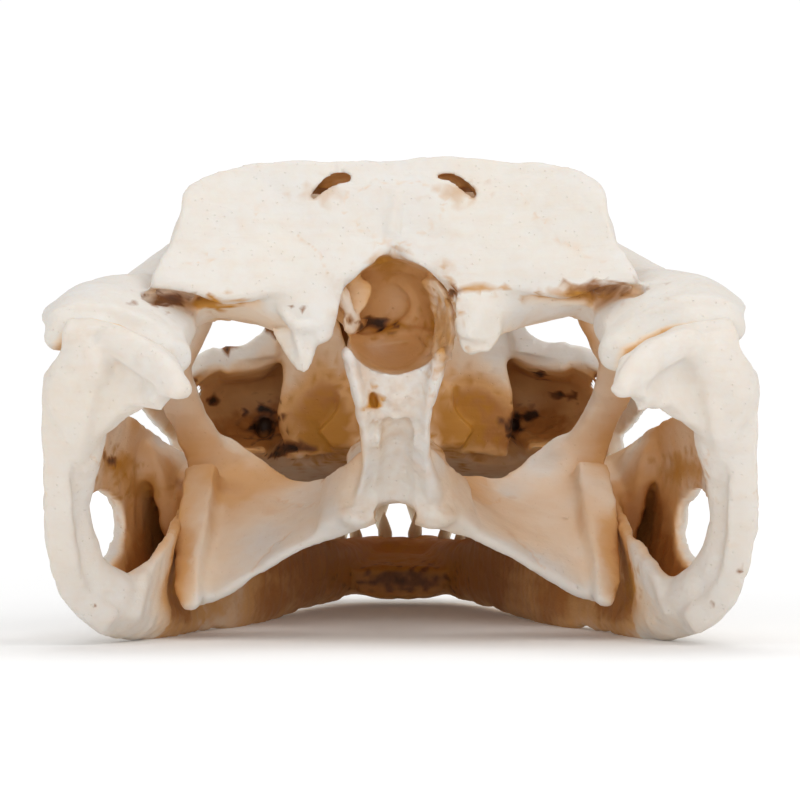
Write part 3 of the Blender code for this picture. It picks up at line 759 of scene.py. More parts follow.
# Jaw stations: y, outer side, breadth, top and underside, and how far the foot leans inwards
JAW = (
    (-34.0, 49.2, 3.5, 36.5, 3.0, 9.0),
    (-15.0, 44.2, 8.0, 33.5, 0.0, 7.0),
    (0.0, 39.6, 9.0, 29.0, 0.0, 5.5),
    (25.0, 32.6, 9.0, 23.4, 0.5, 2.7),
    (50.0, 26.6, 9.5, 18.8, 1.2, 0.8),
    (68.0, 22.8, 10.0, 15.8, 1.6, 0.0),
    (84.0, 19.4, 11.0, 14.2, 2.0, 0.0),
    (95.0, 16.8, 11.0, 14.2, 3.0, 0.0),
    (103.5, 13.0, 10.0, 14.6, 5.0, 0.0),
    (108.5, 8.6, 8.6, 15.0, 7.6, 0.0),
)

# Chin stations: y, half width, top and underside
CHIN = (
    (78, 9, 9.4, 2.4),
    (88, 11, 10.6, 2.2),
    (97, 10.6, 11.8, 3.4),
    (103.5, 8.6, 12.6, 5.2),
    (108, 5.6, 13.2, 7.6),
)

# The tips of the snout and of the jaw, and the height of the tooth rows there
SNOUT_TIP = (0.0, SNOUT[-1][0] + 1.0, 23.0)
JAW_TIP = (0.0, 111.5, 15.2)

# How the cranium lies on the jaw: its roll in degrees, and its shift to the right
CRANIUM_ROLL = 0.6
CRANIUM_ASIDE = -0.9


@dataclass
class Cranium:
    """The cranium: all the bones of the upper skull, grown together.

    Args:
        teeth: Its teeth.
        sub_grain: The grain that its parts are melted to, in millimetres.
        grain: The grain that the whole is melted to, in millimetres.
        triangles: How many triangles are kept.
        relief: Its relief.
    """

    teeth: ToothRow
    sub_grain: float = 0.75
    grain: float = 0.5
    triangles: int = 195000
    relief: Relief = field(default_factory=Relief)

    def occiput(self) -> list[Shape]:
        """The broad plate at the back, the skull table behind the eyes and the braincase within."""
        back = SHEET.drawn([
            [
    (0, 230, -72), (50, 236, -73), (105, 235, -74),
    (150, 229, -75), (186, 219, -77), (205, 203, -79),
],
            [
                (0, 203, -77), (50, 203, -77), (105, 203, -77),
                (150, 201, -79), (194, 194, -81), (215, 183, -83),
            ],
            [
                (0, 160, -79), (50, 165, -80), (105, 163, -81),
                (155, 158, -83), (203, 152, -85), (227, 147, -86),
            ],
            [
                (14, 138, -82), (62, 128, -84), (110, 126, -85),
                (162, 118, -88), (212, 120, -90), (243, 122, -90),
            ],
            [
                (40, 122, -84), (75, 112, -85), (112, 108, -86),
                (162, 100, -90), (208, 108, -91), (244, 112, -91),
            ],
        ])
        table = [
            [(0, -72, 82.9), (12, -72, 83.9), (22, -73, 83.5), (31, -74, 81.7), (36, -76, 79.3)],
            [(0, -60, 82.1), (12, -60, 82.1), (22, -60, 82.9), (31, -60, 82.1), (34.5, -60, 79.9)],
            [(0, -46, 81.1), (10, -46, 81.1), (20, -46, 81.7), (27, -46, 81.5), (30, -47, 79.7)],
            [(0, -40, 80.3), (7, -41, 80.7), (14, -43, 81.3), (22, -44, 80.9), (26, -46, 79.7)],
        ]
        lower = SHEET.drawn([
            [(48, 124, -83), (80, 116, -84), (118, 112, -84), (160, 108, -84), (200, 106, -84)],
            [(56, 92, -85), (84, 90, -86), (118, 94, -84), (158, 96, -80), (196, 100, -80)],
            [(62, 72, -86), (82, 70, -87), (104, 74, -84), (135, 84, -78), (168, 90, -74)],
            [(66, 62, -86), (80, 58, -88), (98, 60, -86), (118, 73, -80), (136, 84, -74)],
        ])
        stalk = [(0, -58, 61.5), (0, -46, 63.5), (0, -36, 69.5), (0, -30, 74.5)]
        return [
            plate(back, (4.5, 4.0, 3.6, 3.2, 2.6)),
            plate(table, (5.0, 4.6, 4.4, 4.0)),
            plate(lower, (4.0, 3.6, 3.0, 2.4)),
            lump((0, -64, 68.5), (17.5, 16, 13)),
            lump((0, -52, 65.5), (13, 15, 12)),
            bar(stalk, [(9, 9), (7, 8), (5, 6), (4, 3)]),
        ]

    def spikes(self) -> list[Shape]:
        """The spikes under the plate: sharp on the left, broken short on the right."""
        sharp = SHEET.drawn([
            [(-122, 72, -85), (-100, 72, -86), (-74, 74, -86)],
            [(-112, 53, -86), (-97, 52, -86.5), (-80, 57, -87)],
            [(-95, 31, -87.5), (-91, 29, -88), (-88, 31, -88)],
        ])
        facet = SHEET.line([(-116, 92, -86), (-101, 76, -88.6), (-88, 75, -88.8), (-73, 74, -88.4)])
        keel = SHEET.line([(-100, 75, -88.4), (-96, 54, -88.2), (-91, 33, -88.2)])
        short = SHEET.drawn([
            [(58, 88, -84), (84, 86, -84), (108, 80, -84)],
            [(60, 64, -84.5), (80, 62, -85), (100, 62, -85)],
            [(68, 47, -86), (76, 45, -86.5), (92, 48, -86.5)],
        ])
        brink = SHEET.line([
            (62, 92, -87), (82, 90, -87), (103, 80, -86.5), (100, 62, -86.5), (92, 48, -86.8),
        ])
        crest = SHEET.line([(0, 228, -75), (2, 200, -79.3), (-2, 168, -81.2)])
        return [
            plate(sharp, (2.4, 1.9, 0.9)),
            bar(facet, [0.5, 0.9, 0.8, 0.5]),
            bar(keel, [0.6, 0.5, 0.3]),
            plate(short, (2.4, 2.0, 1.6)),
            bar(brink, [0.6, 0.8, 0.9, 0.8, 0.6]),
            bar(crest, [(1.2, 0.9), (0.8, 0.6), (1.3, 0.5)], up=AWAY),
        ]

    def quadrates(self) -> list[Shape]:
        """The quadrates that carry the jaw joint, with the bones along their sides."""
        blade = SHEET.drawn([
            [(222, 46, -98), (250, 64, -99), (285, 78, -100), (318, 82, -100), (342, 68, -98)],
            [(214, 66, -90), (240, 86, -90), (278, 101, -90), (315, 97, -90), (342, 78, -89)],
            [(196, 82, -80), (222, 100, -78), (255, 115, -78), (296, 108, -80), (328, 90, -80)],
            [(170, 88, -72), (198, 108, -70), (226, 122, -70), (262, 118, -70), (306, 94, -70)],
            [(120, 92, -62), (155, 122, -60), (185, 155, -60), (215, 152, -58), (232, 140, -58)],
            [(80, 92, -52), (110, 130, -50), (150, 178, -50), (165, 185, -48), (172, 190, -48)],
        ])
        inner = SHEET.line([(222, 46, -98), (226, 54, -94), (214, 74, -86)])
        outer = SHEET.line([(328, 74, -99), (316, 82, -90), (298, 94, -80)])
        condyle = SHEET.line([(228, 50, -99), (270, 64, -100), (300, 72, -101), (336, 68, -99)])
        return [
            plate(blade, (6.5, 6.0, 5.0, 4.0, 3.4, 3.0)),
            bar(inner, [(3.4, 3.6), (3.4, 3.4), (3, 3)]),
            bar(outer, [(3.4, 3.4), (3.2, 3.2), (2.6, 2.6)]),
            bar(condyle, [3.2, 2.4, 3, 3]),
        ]

    def cheeks(self) -> list[Shape]:
        """The arch under the eye, the bar behind it and the strut down to the palate."""
        arch = [
            (40.5, 4, 39.5), (43.5, -12, 43), (46.8, -28, 45.9),
            (50.5, -45, 49.1), (55, -63, 52.9), (59, -82, 57.1),
        ]
        post = [(27.5, -47, 79.5), (30.5, -46, 71.5), (34.5, -43, 61.5), (38.5, -40, 53.5), (44, -38, 47.5)]
        strut = [
            [(38.0, -40, 51.5), (42, -40, 50), (46, -38, 47.5)],
            [(37.2, -37, 47.5), (40, -37, 45.5), (43.6, -35, 43.5)],
            [(35.4, -34, 41.5), (38.2, -33, 40.5), (41, -31, 39)],
            [(31.5, -31, 36), (36.0, -31, 34.1), (39, -29, 33.5)],
            [(29, -31, 33.7), (35.5, -33, 30.9), (38.6, -33, 29.9)],
        ]
        rim = [
            [(26, 2, 51), (33, 0, 50.5), (40, -4, 48.5)],
            [(27, -4, 52), (34, -5, 51.7), (42, -9, 49)],
            [(32, -9, 52.3), (37, -10, 51.5), (43.5, -15, 48)],
        ]
        return [
            bar(arch, [(2.4, 6.5), (2.2, 6.0), (2.0, 4.2), (2.0, 4.0), (2.0, 3.8), (2.4, 3.4)]),
            bar(post, [(3.8, 3.0), (2.4, 2.2), (2.2, 2.2), (2.6, 2.4), (3.6, 2.6)], up=(0, 1, 1.5)),
            plate(strut, (2.6, 2.8, 3.0, 3.0, 2.8)),
            plate(rim, (3.4, 3.0, 4.1)),
        ]

    def palate(self) -> list[Shape]:
        """The tube of the palate, the pillars by the eyes, the wings with their edges and the column."""
        wing = SHEET.drawn([
            [(22, -58, -60), (34, -66, -52), (44, -92, -58), (50, -124, -63)],
            [(62, -78, -42), (66, -84, -42), (74, -108, -52), (74, -136, -61)],
            [(104, -80, -35), (106, -86, -36), (114, -118, -48), (114, -156, -61)],
            [(140, -56, -31), (142, -66, -31), (150, -118, -45), (150, -178, -60)],
            [(172, -34, -29), (176, -50, -30), (184, -122, -44), (182, -197, -60)],
            [(198, -50, -31), (198, -66, -32), (203, -126, -45), (206, -203, -60)],
        ])
        edge = SHEET.drawn([
            [(178, -64, -38), (194, -66, -37), (210, -70, -36)],
            [(182, -92, -43), (198, -92, -42), (215, -94, -41)],
            [(187, -124, -49), (203, -126, -48), (219, -128, -47)],
            [(194, -160, -56), (208, -162, -55), (222, -164, -54)],
            [(196, -186, -61), (209, -188, -60), (222, -190, -59)],
            [(196, -202, -63), (205, -207, -63.5), (214, -208, -62.5)],
        ])
        flange = SHEET.drawn([
            [(228, 30, -84), (212, 36, -80), (191, 44, -70)],
            [(258, -4, -76), (230, 2, -72), (194, 6, -62)],
            [(256, -38, -66), (228, -34, -62), (202, -30, -54)],
            [(242, -70, -56), (222, -66, -52), (205, -60, -44)],
        ])
        splint = SHEET.drawn([
            [(247, -6, -73), (245, -15, -72), (243, -26, -71)],
            [(230, -10, -69), (226, -26, -68), (222, -46, -66)],
            [(212, -40, -61), (210, -54, -59), (208, -72, -56)],
        ])
        root = SHEET.drawn([
            [(22, -44, -68), (28, -78, -65), (32, -110, -62)],
            [(42, -66, -60), (48, -90, -61), (56, -122, -62)],
            [(66, -80, -50), (70, -100, -54), (76, -130, -60)],
        ])
        web = SHEET.drawn([
            [(0, 30, -74), (0, -20, -66), (0, -70, -58)],
            [(0, 40, -56), (0, -10, -50), (0, -60, -44)],
        ])
        pillar = [
            [(7, -4, 34), (8, -7, 48), (11, -8, 60), (13, -8, 68)],
            [(15, -3, 33.5), (17, -6, 44), (17.5, -7, 53), (19, -7, 60)],
            [(21, -1, 33), (22.5, -5, 42), (21.5, -6, 50), (22, -6, 58)],
        ]
        socket = SHEET.drawn([
            [(-46, 74, -66), (-20, 72, -63), (0, 71, -62), (20, 72, -63), (46, 74, -66)],
            [(-48, 56, -73), (-22, 46, -70), (0, 42, -69), (22, 46, -70), (48, 56, -73)],
            [(-46, 36, -79), (-22, 25, -78), (0, 21, -78), (22, 25, -78), (46, 38, -79)],
        ])
        ridge = SHEET.line([
            (47, 48, -83), (40, 20, -82), (34, -4, -80), (30, -34, -76), (30, -62, -71),
            (38, -98, -65),
        ])
        arch = SHEET.line([
            (-12, -52, -76), (-10, -34, -79.5), (0, -26, -80.5), (11, -34, -79.5), (13, -52, -76),
        ])
        tube = [(0, 22, 32), (0, 0, 33.5), (0, -24, 34), (0, -42, 33), (0, -56, 29.5)]
        column = SHEET.line([(0, 36, -78), (0, 4, -76), (0, -22, -72), (0, -58, -67), (0, -92, -62)])
        return [
            plate(wing, (5.0, 2.8, 2.0, 2.0, 2.2, 2.6)),
            plate(edge, (3.0, 3.2, 3.2, 3.2, 3.0, 2.2)),
            plate(flange, (2.6, 2.4, 2.2, 2.0)),
            plate(splint, (1.8, 2.2, 2.4)),
            plate(root, (5.0, 4.0, 3.0)),
            bar(tube, [(9, 4.5), (8.5, 4.5), (8, 4.2), (9.5, 4.0), (8, 4.4)]),
            bar(arch, [0.6, 0.7, 0.8, 0.7, 0.6]),
            bar(column, [(8.0, 4.6), (6.4, 5.4), (5.2, 5.4), (5.2, 4.8), (6.6, 4.6)], up=AWAY),
            bar(ridge, [(1.6, 2.0), (1.4, 2.2), (1.2, 2.2), (1.1, 2.0), (1.3, 1.8), (1.4, 1.6)], up=AWAY),
            plate(web, 5.0),
            plate(socket, (2.0, 2.2, 2.6)),
            lump(SHEET.place(24, -108, -63), (4.6, 3.2, 3.0)),
            lump(SHEET.place(40, -116, -63.5), (3.6, 2.8, 2.4)),
            plate(pillar, 2.6),
        ]

    def brain_walls(self) -> list[Shape]:
        """The thin inner walls of the broken braincase."""
        rim = SHEET.line([
            (6, 116, -66.5), (18, 104, -65.5), (19, 88, -64.6), (8, 74, -64.6), (-8, 69, -65),
        ])
        ledge = SHEET.line([(-46, 68, -73), (-24, 62, -67), (0, 66, -65), (26, 66, -67), (44, 52, -74)])
        shard = SHEET.drawn([
            [(30, 122, -75), (44, 122, -80)],
            [(40, 98, -74), (58, 96, -81)],
            [(42, 70, -75), (60, 66, -82)],
            [(36, 44, -77), (56, 38, -83)],
        ])
        floor = SHEET.drawn([
            [(-52, 84, -80), (-40, 82, -74), (-26, 84, -70)],
            [(-50, 70, -80), (-40, 66, -76), (-28, 72, -72)],
        ])
        lobe = lump(SHEET.place(-38, 103, -76), (4.0, 0.9, 2.6), turn=0.95)
        hinge = SHEET.line([(-54, 108, -80), (-44, 88, -78), (-34, 74, -74)])
        return [
            lobe,
            bar(hinge, [1.6, 1.0, 0.8]),
            bar(rim, [0.5, 0.8, 0.9, 0.8, 0.5]),
            bar(ledge, [0.8, 0.9, 0.7, 0.9, 0.8]),
            plate(shard, 2.0),
            plate(floor, 1.2),
        ]

    def roof(self) -> list[Shape]:
        """The bone between the eyes, and the ridge across the face in front of them."""
        frontal = [
            [(0, -44, 81.5), (7, -44, 81.9), (14, -44.5, 82.5), (22, -46, 81.8)],
            [(0, -38, 79.6), (4.5, -38, 80.2), (8.5, -38, 81.4), (11, -39, 82)],
            [(0, -26, 76.5), (3.5, -26, 77.3), (6.5, -26, 78.9), (8.2, -26, 79.7)],
            [(0, -15, 73.1), (4.5, -15, 74.1), (8.5, -14, 75.5), (11, -14, 75.9)],
            [(0, -5, 69.1), (6.5, -5, 69.9), (13.0, -6, 70.7), (18, -7, 68.5)],
            [(0, 8, 63.9), (6.5, 8, 63.5), (13, 6, 62.5), (20, 5, 59.5)],
        ]
        brow = [
            [(13, -3, 67.5), (19, -5, 61), (24, -7, 53), (33, -9, 51)],
            [(13, 8, 62), (19, 7, 57.5), (25, 5, 50), (34, 3, 48.5)],
        ]
        face_ridge = [(19, -8, 65), (13.5, -6, 71), (7, -2, 71.7), (0, 1.5, 70.9)]
        return [
            plate(frontal, (4.6, 4.0, 3.6, 3.8, 4.4, 4.0)),
            bar(face_ridge, [1.6, 1.9, 1.7, 1.5]),
            plate(brow, 3.6),
        ]

    def snout_ring(
        self, y: float, half_width: float, edge_z: float, top_z: float, sharp: float = 2.3, points: int = 26
    ) -> list[Place]:
        """One ring of the snout: an arched roof over a slightly vaulted palate."""
        ring = []
        for k in range(points + 1):
            turn = math.pi * k / points
            x = half_width * math.cos(turn)
            arch = max(0.0, 1 - abs(math.cos(turn)) ** sharp) ** 0.62
            ring.append((x, y, edge_z + (top_z - edge_z) * arch))
        for k in range(1, points):
            x = half_width * (-1 + 2 * k / points)
            ring.append((x, y, edge_z + 2.2 * (1 - (x / half_width) ** 2)))
        return ring

    def snout(self) -> Shape:
        """The snout as a solid arch, hollowed afterwards."""
        fine = curve_through(SNOUT, 4)
        return loft([self.snout_ring(*station) for station in fine])

    def snout_hollows(self) -> list[Shape]:
        """What is open in the snout: the fronts of the orbits, palate windows, airway and nostril."""
        airway = [(0, -14, 50), (0, 20, 46), (0, 60, 38), (0, 99, 34)]
        return [
            lump((25.5, -10, 43.5), (15.0, 19, 8.6), turn=-0.10),
            lump((14, -12, 54), (9, 12, 9)),
            lump((31, -3, 62), (8.2, 16, 8.2)),
            lump((18.5, -4, 30), (7.4, 21, 9)),
            bar(airway, [(9, 9), (8, 8), (6, 6), (6, 5)]),
            lump((0, 100, 43), (8.2, 10.0, 10)),
            lump((0, 107, 21), (3.2, 5.0, 6)),
        ]

    def hollows(self) -> list[Shape]:
        """The broken braincase and the holes of the table, the plate and the column, on both sides."""
        slit = SHEET.line([(44, 222, -75), (60, 219, -75), (76, 208, -76.5), (87, 195, -78)])
        recess = SHEET.line([(246, 106, -91), (208, 104, -90), (172, 95, -88)])
        niche = SHEET.line([(4, -32, -79), (2, -46, -75.5), (1, -66, -72), (0, -94, -67)])
        fold = SHEET.line([(124, 84, -88), (98, 64, -89), (78, 66, -89)])
        return [
            lump(SHEET.place(0, 84, -80), (9.8, 17, 10.4)),
            lump((14.5, -60, 80), (5.6, 7.4, 11)),
            bar(slit, [(0.8, 3.0), (1.15, 3.0), (0.9, 2.8), (0.5, 2.6)], up=AWAY),
            bar(recess, [(1.3, 3.0), (1.2, 2.6), (0.7, 2.0)], up=AWAY),
            bar(niche, [(2.2, 3.6), (2.5, 3.2), (2.8, 3.0), (4.2, 2.6)], up=AWAY),
            lump(SHEET.place(0, -114, -63), (4.3, 7.5, 2.5)),
            lump(SHEET.place(91, 91, -88), (0.5, 2.0, 0.8)),
            lump(SHEET.place(103, 93, -88), (0.6, 2.0, 0.6)),
            bar(fold, [(0.8, 1.6), (1.5, 1.5), (0.9, 1.2)], up=AWAY),
        ]

    def broken(self) -> list[Shape]:
        """What is missing on one side only, on the left where across is negative."""
        crack = SHEET.line([(58, 106, -88), (82, 111, -88), (106, 118, -88)])
        return [
            lump(SHEET.place(-22, 0, -81), (0.8, 3.0, 1.7), turn=0.25),
            lump(SHEET.place(-10, 137, -80), (2.2, 5.0, 1.7)),
            lump(SHEET.place(48, 92, -86), (2.6, 3.6, 5.2)),
            lump(SHEET.place(58, 106, -87), (1.0, 3.0, 0.9)),
            bar(crack, [(0.5, 1.2), (0.35, 1.2), (0.4, 1.2)], up=AWAY),
            lump(SHEET.place(-132, -24, 4), (2.2, 5.0, 2.6)),
            lump(SHEET.place(-106, -47, 0), (3.0, 5.0, 1.0)),
            lump(SHEET.place(118, -26, 4), (1.3, 4.0, 1.8)),
            lump(SHEET.place(133, -17, 4), (1.1, 4.0, 1.2)),
        ]

    def sculptured(self, places: np.ndarray, normals: np.ndarray) -> np.ndarray:
        """How much each place belongs to the pitted outer bone."""
        x, y, z = np.abs(places[:, 0]), places[:, 1], places[:, 2]
        table = fade(z, 78, 80) * fade(-y, 36, 40) * fade(74 - (-y), -1, 2)
        face = fade(y, -8, 0) * fade(z - (30 + 0.02 * y), 0, 8) * fade(116 - y, 0, 4)
        beside = fade(np.abs(normals[:, 0]), 0.4, 0.8)
        cheek = fade(x, 38, 42) * fade(-y, 8, 12) * fade(72 + y, 0, 10) * beside
        frontal = fade(z - (64 - 0.2 * y), 0, 6) * fade(40 + y, 0, 4) * fade(12 - x, 0, 3)
        up = fade(normals[:, 2], 0.05, 0.45)
        return np.maximum(np.maximum(table, frontal) * up, np.maximum(face * up, cheek * 0.8))

    def spongy(self, places: np.ndarray) -> np.ndarray:
        """How much each place belongs to spongy or broken bone."""
        ragged = waves(places, 5, 91)
        patches = [
            Patch(Mark.SPONGE, (0, -6), (34, 36), (-90, -72), 0.9),
            Patch(Mark.SPONGE, (0, 30), (60, 22), (-92, -74), 0.7),
            Patch(Mark.SPONGE, (48, 66), (18, 46), (-92, -70), 1.0),
            Patch(Mark.SPONGE, (-58, 60), (10, 40), (-92, -74), 0.8),
            Patch(Mark.SPONGE, (-24, -110), (22, 10), (-75, -56), 0.7),
            Patch(Mark.SPONGE, (44, -112), (22, 10), (-75, -56), 0.7),
            Patch(Mark.SPONGE, (0, -60), (20, 40), (-75, -60), 0.5),
        ]
        return np.max([patch.weigh(places, ragged) for patch in patches], axis=0)

    def seams(self) -> list[Seam]:
        """The lines where the bones of the cranium meet, and its hairline cracks."""
        return [
            Seam(Facing.ABOVE, ((0, 92), (0.2, 60), (0, 30), (0, 8)), both_sides=False),
            Seam(Facing.ABOVE, ((0.3, 8), (4, 2), (9, 6), (11.5, 20), (9, 50), (7.5, 80), (8, 92))),
            Seam(Facing.ABOVE, ((8, 86), (15, 80), (21, 82), (27, 88))),
            Seam(Facing.ABOVE, ((11, 20), (17, 14), (24, 6), (28, -4))),
            Seam(Facing.ABOVE, ((24, 14), (30, 22), (37, 18), (46, 4))),
            Seam(Facing.ABOVE, ((0, -50), (8, -49.5), (14, -52), (18, -47), (22, -42))),
            Seam(Facing.ABOVE, ((20, -56), (26, -60), (31, -66), (34, -74))),
            Seam(
                Facing.BEHIND, ((0, 218), (30, 214), (52, 196), (30, 168), (0, 150)), width=0.14, depth=0.08
            ),
            Seam(
                Facing.BEHIND, ((-97, 167), (-74, 147), (-68, 130), (-57, 117)),
                width=0.12, depth=0.1, wobble=0.15, both_sides=False,
            ),
            Seam(Facing.BEHIND, ((128, 206), (150, 176), (176, 150), (214, 136)), width=0.12, depth=0.06),
            Seam(Facing.BESIDE, ((4, 34), (-12, 38), (-30, 41), (-48, 44)), width=0.2),
            Seam(Facing.BELOW, ((0, 90), (0.2, 60), (0, 30)), both_sides=False),
            Seam(Facing.BELOW, ((0, 88), (8, 84), (16, 88), (24, 92))),
            Seam(Facing.BELOW, ((0, 26), (7, 22), (10, 10), (11, -6), (10, -20))),
        ]

    def build(self) -> Casting:
        """Make the cranium as drawn, before it is laid in the frame."""
        snout = Casting("snout", self.snout()).melt(self.sub_grain)
        snout.cut(self.snout_hollows(), self.sub_grain)
        parts = self.occiput() + self.quadrates() + self.cheeks() + self.palate() + self.roof()
        skull = Casting("cranium_bone", joined(parts)).melt(self.sub_grain)
        skull.cut(self.hollows(), self.sub_grain)
        skull.add(Casting("spikes", joined(self.spikes(), both_sides=False)))
        skull.add(Casting("walls", joined(self.brain_walls(), both_sides=False)))
        skull.add(snout).melt(self.grain)
        skull.cut(self.broken(), self.grain, both_sides=False)
        skull.soften(5)
        places, normals = skull.places(), skull.normals()
        bulges = [(p[0] * side.value, p[1], p[2] + 2.5) for p in self.teeth.roots() for side in Side]
        self.relief.apply(skull, self.sculptured(places, normals), self.spongy(places), self.seams(), bulges)
        return skull.thin_out(self.triangles)

    def stains(self) -> list[Patch]:
        """The stains of the cranium and its patches of painted shade, as the eye behind it sees them."""
        deep, orbits, floors = (-60.0, 60.0), (-48.0, 60.0), (-50.0, 60.0)
        plate_face = (-95.0, -70.0)
        return [
            # Patches of painted shade: more in the orbits and the braincase, less on the outer bowls, the
            # palate floor, the wings and the socket
            *patches_on_both_sides(Mark.SHADE, (120, 0), (78, 66), orbits, 0.20),
            *patches_on_both_sides(Mark.SHADE, (156, 30), (60, 44), orbits, -0.42),
            *patches_on_both_sides(Mark.SHADE, (96, -68), (66, 15), orbits, -0.18),
            *patches_on_both_sides(Mark.SHADE, (70, -20), (42, 44), orbits, 0.22),
            *patches_on_both_sides(Mark.SHADE, (118, -130), (150, 112), (-76, -24), -0.62),
            *patches_on_both_sides(Mark.SHADE, (196, 10), (34, 84), (-100, -36), -0.48),
            Patch(Mark.SHADE, (0, 90), (50, 46), (-78, -40), 0.12),
            Patch(Mark.SHADE, (0, 42), (54, 30), (-86, -56), -0.85),
            Patch(Mark.SHADE, (-6, 92), (22, 22), (-72, -58), -0.34),
            Patch(Mark.SHADE, (48, 66), (16, 40), (-84, -70), -0.35),
            # Dark and amber under the ledges of the plate, over the canal openings: painted shadow
            Patch(Mark.DARK, (-226, 103), (22, 7), strength=0.62),
            Patch(Mark.AMBER, (-189, 99), (24, 6), strength=0.9),
            Patch(Mark.DARK, (205, 110), (36, 7), strength=0.45),
            Patch(Mark.AMBER, (190, 104), (40, 8), strength=0.7),
            Patch(Mark.AMBER, (-72, 208), (22, 9), (-82, -66), 0.4),
            Patch(Mark.AMBER, (62, 208), (22, 9), (-82, -66), 0.4),
            Patch(Mark.AMBER, (-8, 138), (16, 12), (-90, -60), 0.6),
            Patch(Mark.DARK, (-19, 76), (15, 6), (-85, -50), 0.95),
            Patch(Mark.AMBER, (-12, 74), (24, 9), (-85, -50), 0.9),
            Patch(Mark.AMBER, (48, 66), (13, 38), (-92, -60), 0.75),
            # Dark marks here, in the plate's broken hole and in two small holes, are painted shade; the
            # amber is a stain along the crack
            Patch(Mark.DARK, (58, 107), (6, 4), plate_face, 0.8),
            Patch(Mark.AMBER, (82, 111), (26, 4), plate_face, 0.6),
            Patch(Mark.DARK, (-103, 93), (2.6, 1.8), (-95, -80), 0.55),
            Patch(Mark.DARK, (-91, 91), (2.0, 2.8), (-95, -80), 0.55),
            Patch(Mark.AMBER, (-22, 0), (7, 10), (-90, -60), 1.0),
            Patch(Mark.AMBER, (-30, 26), (8, 30), (-90, -72), 0.35),
            # Dark marks in the holes of the orbit walls: painted shade
            Patch(Mark.DARK, (-132, -22), (14, 14), deep, 1.0),
            Patch(Mark.DARK, (-106, -46), (16, 6), deep, 0.95),
            Patch(Mark.DARK, (-183, 0), (6, 6), deep, 1.0),
            Patch(Mark.DARK, (-120, -53), (7, 4), deep, 0.9),
            Patch(Mark.DARK, (118, -26), (8, 11), deep, 1.0),
            Patch(Mark.DARK, (133, -17), (7, 7), deep, 1.0),
            Patch(Mark.DARK, (160, 3), (5, 4), deep, 0.9),
            Patch(Mark.DARK, (177, 2), (5, 4), deep, 0.9),
            Patch(Mark.DARK, (144, 24), (5, 5), deep, 0.9),
            # Amber on the orbit floors: painted brown shade
            Patch(Mark.AMBER, (-73, -26), (28, 30), floors, 0.95),
            Patch(Mark.AMBER, (65, -25), (26, 28), floors, 0.95),
            # More dark marks in holes of the orbit walls: painted shade
            Patch(Mark.DARK, (-168, 53), (7, 3), deep, 0.7),
            Patch(Mark.DARK, (-122, 70), (6, 5), deep, 0.9),
        ]

    def dress(self, casting: Casting, lay: Lay, finish: "BoneFinish") -> bpy.types.Object:
        """Mark the stains and the painted shade, lay the cranium in the frame and give it its finish."""
        return dress_bone(casting, self.stains(), lay, finish, "cranium")


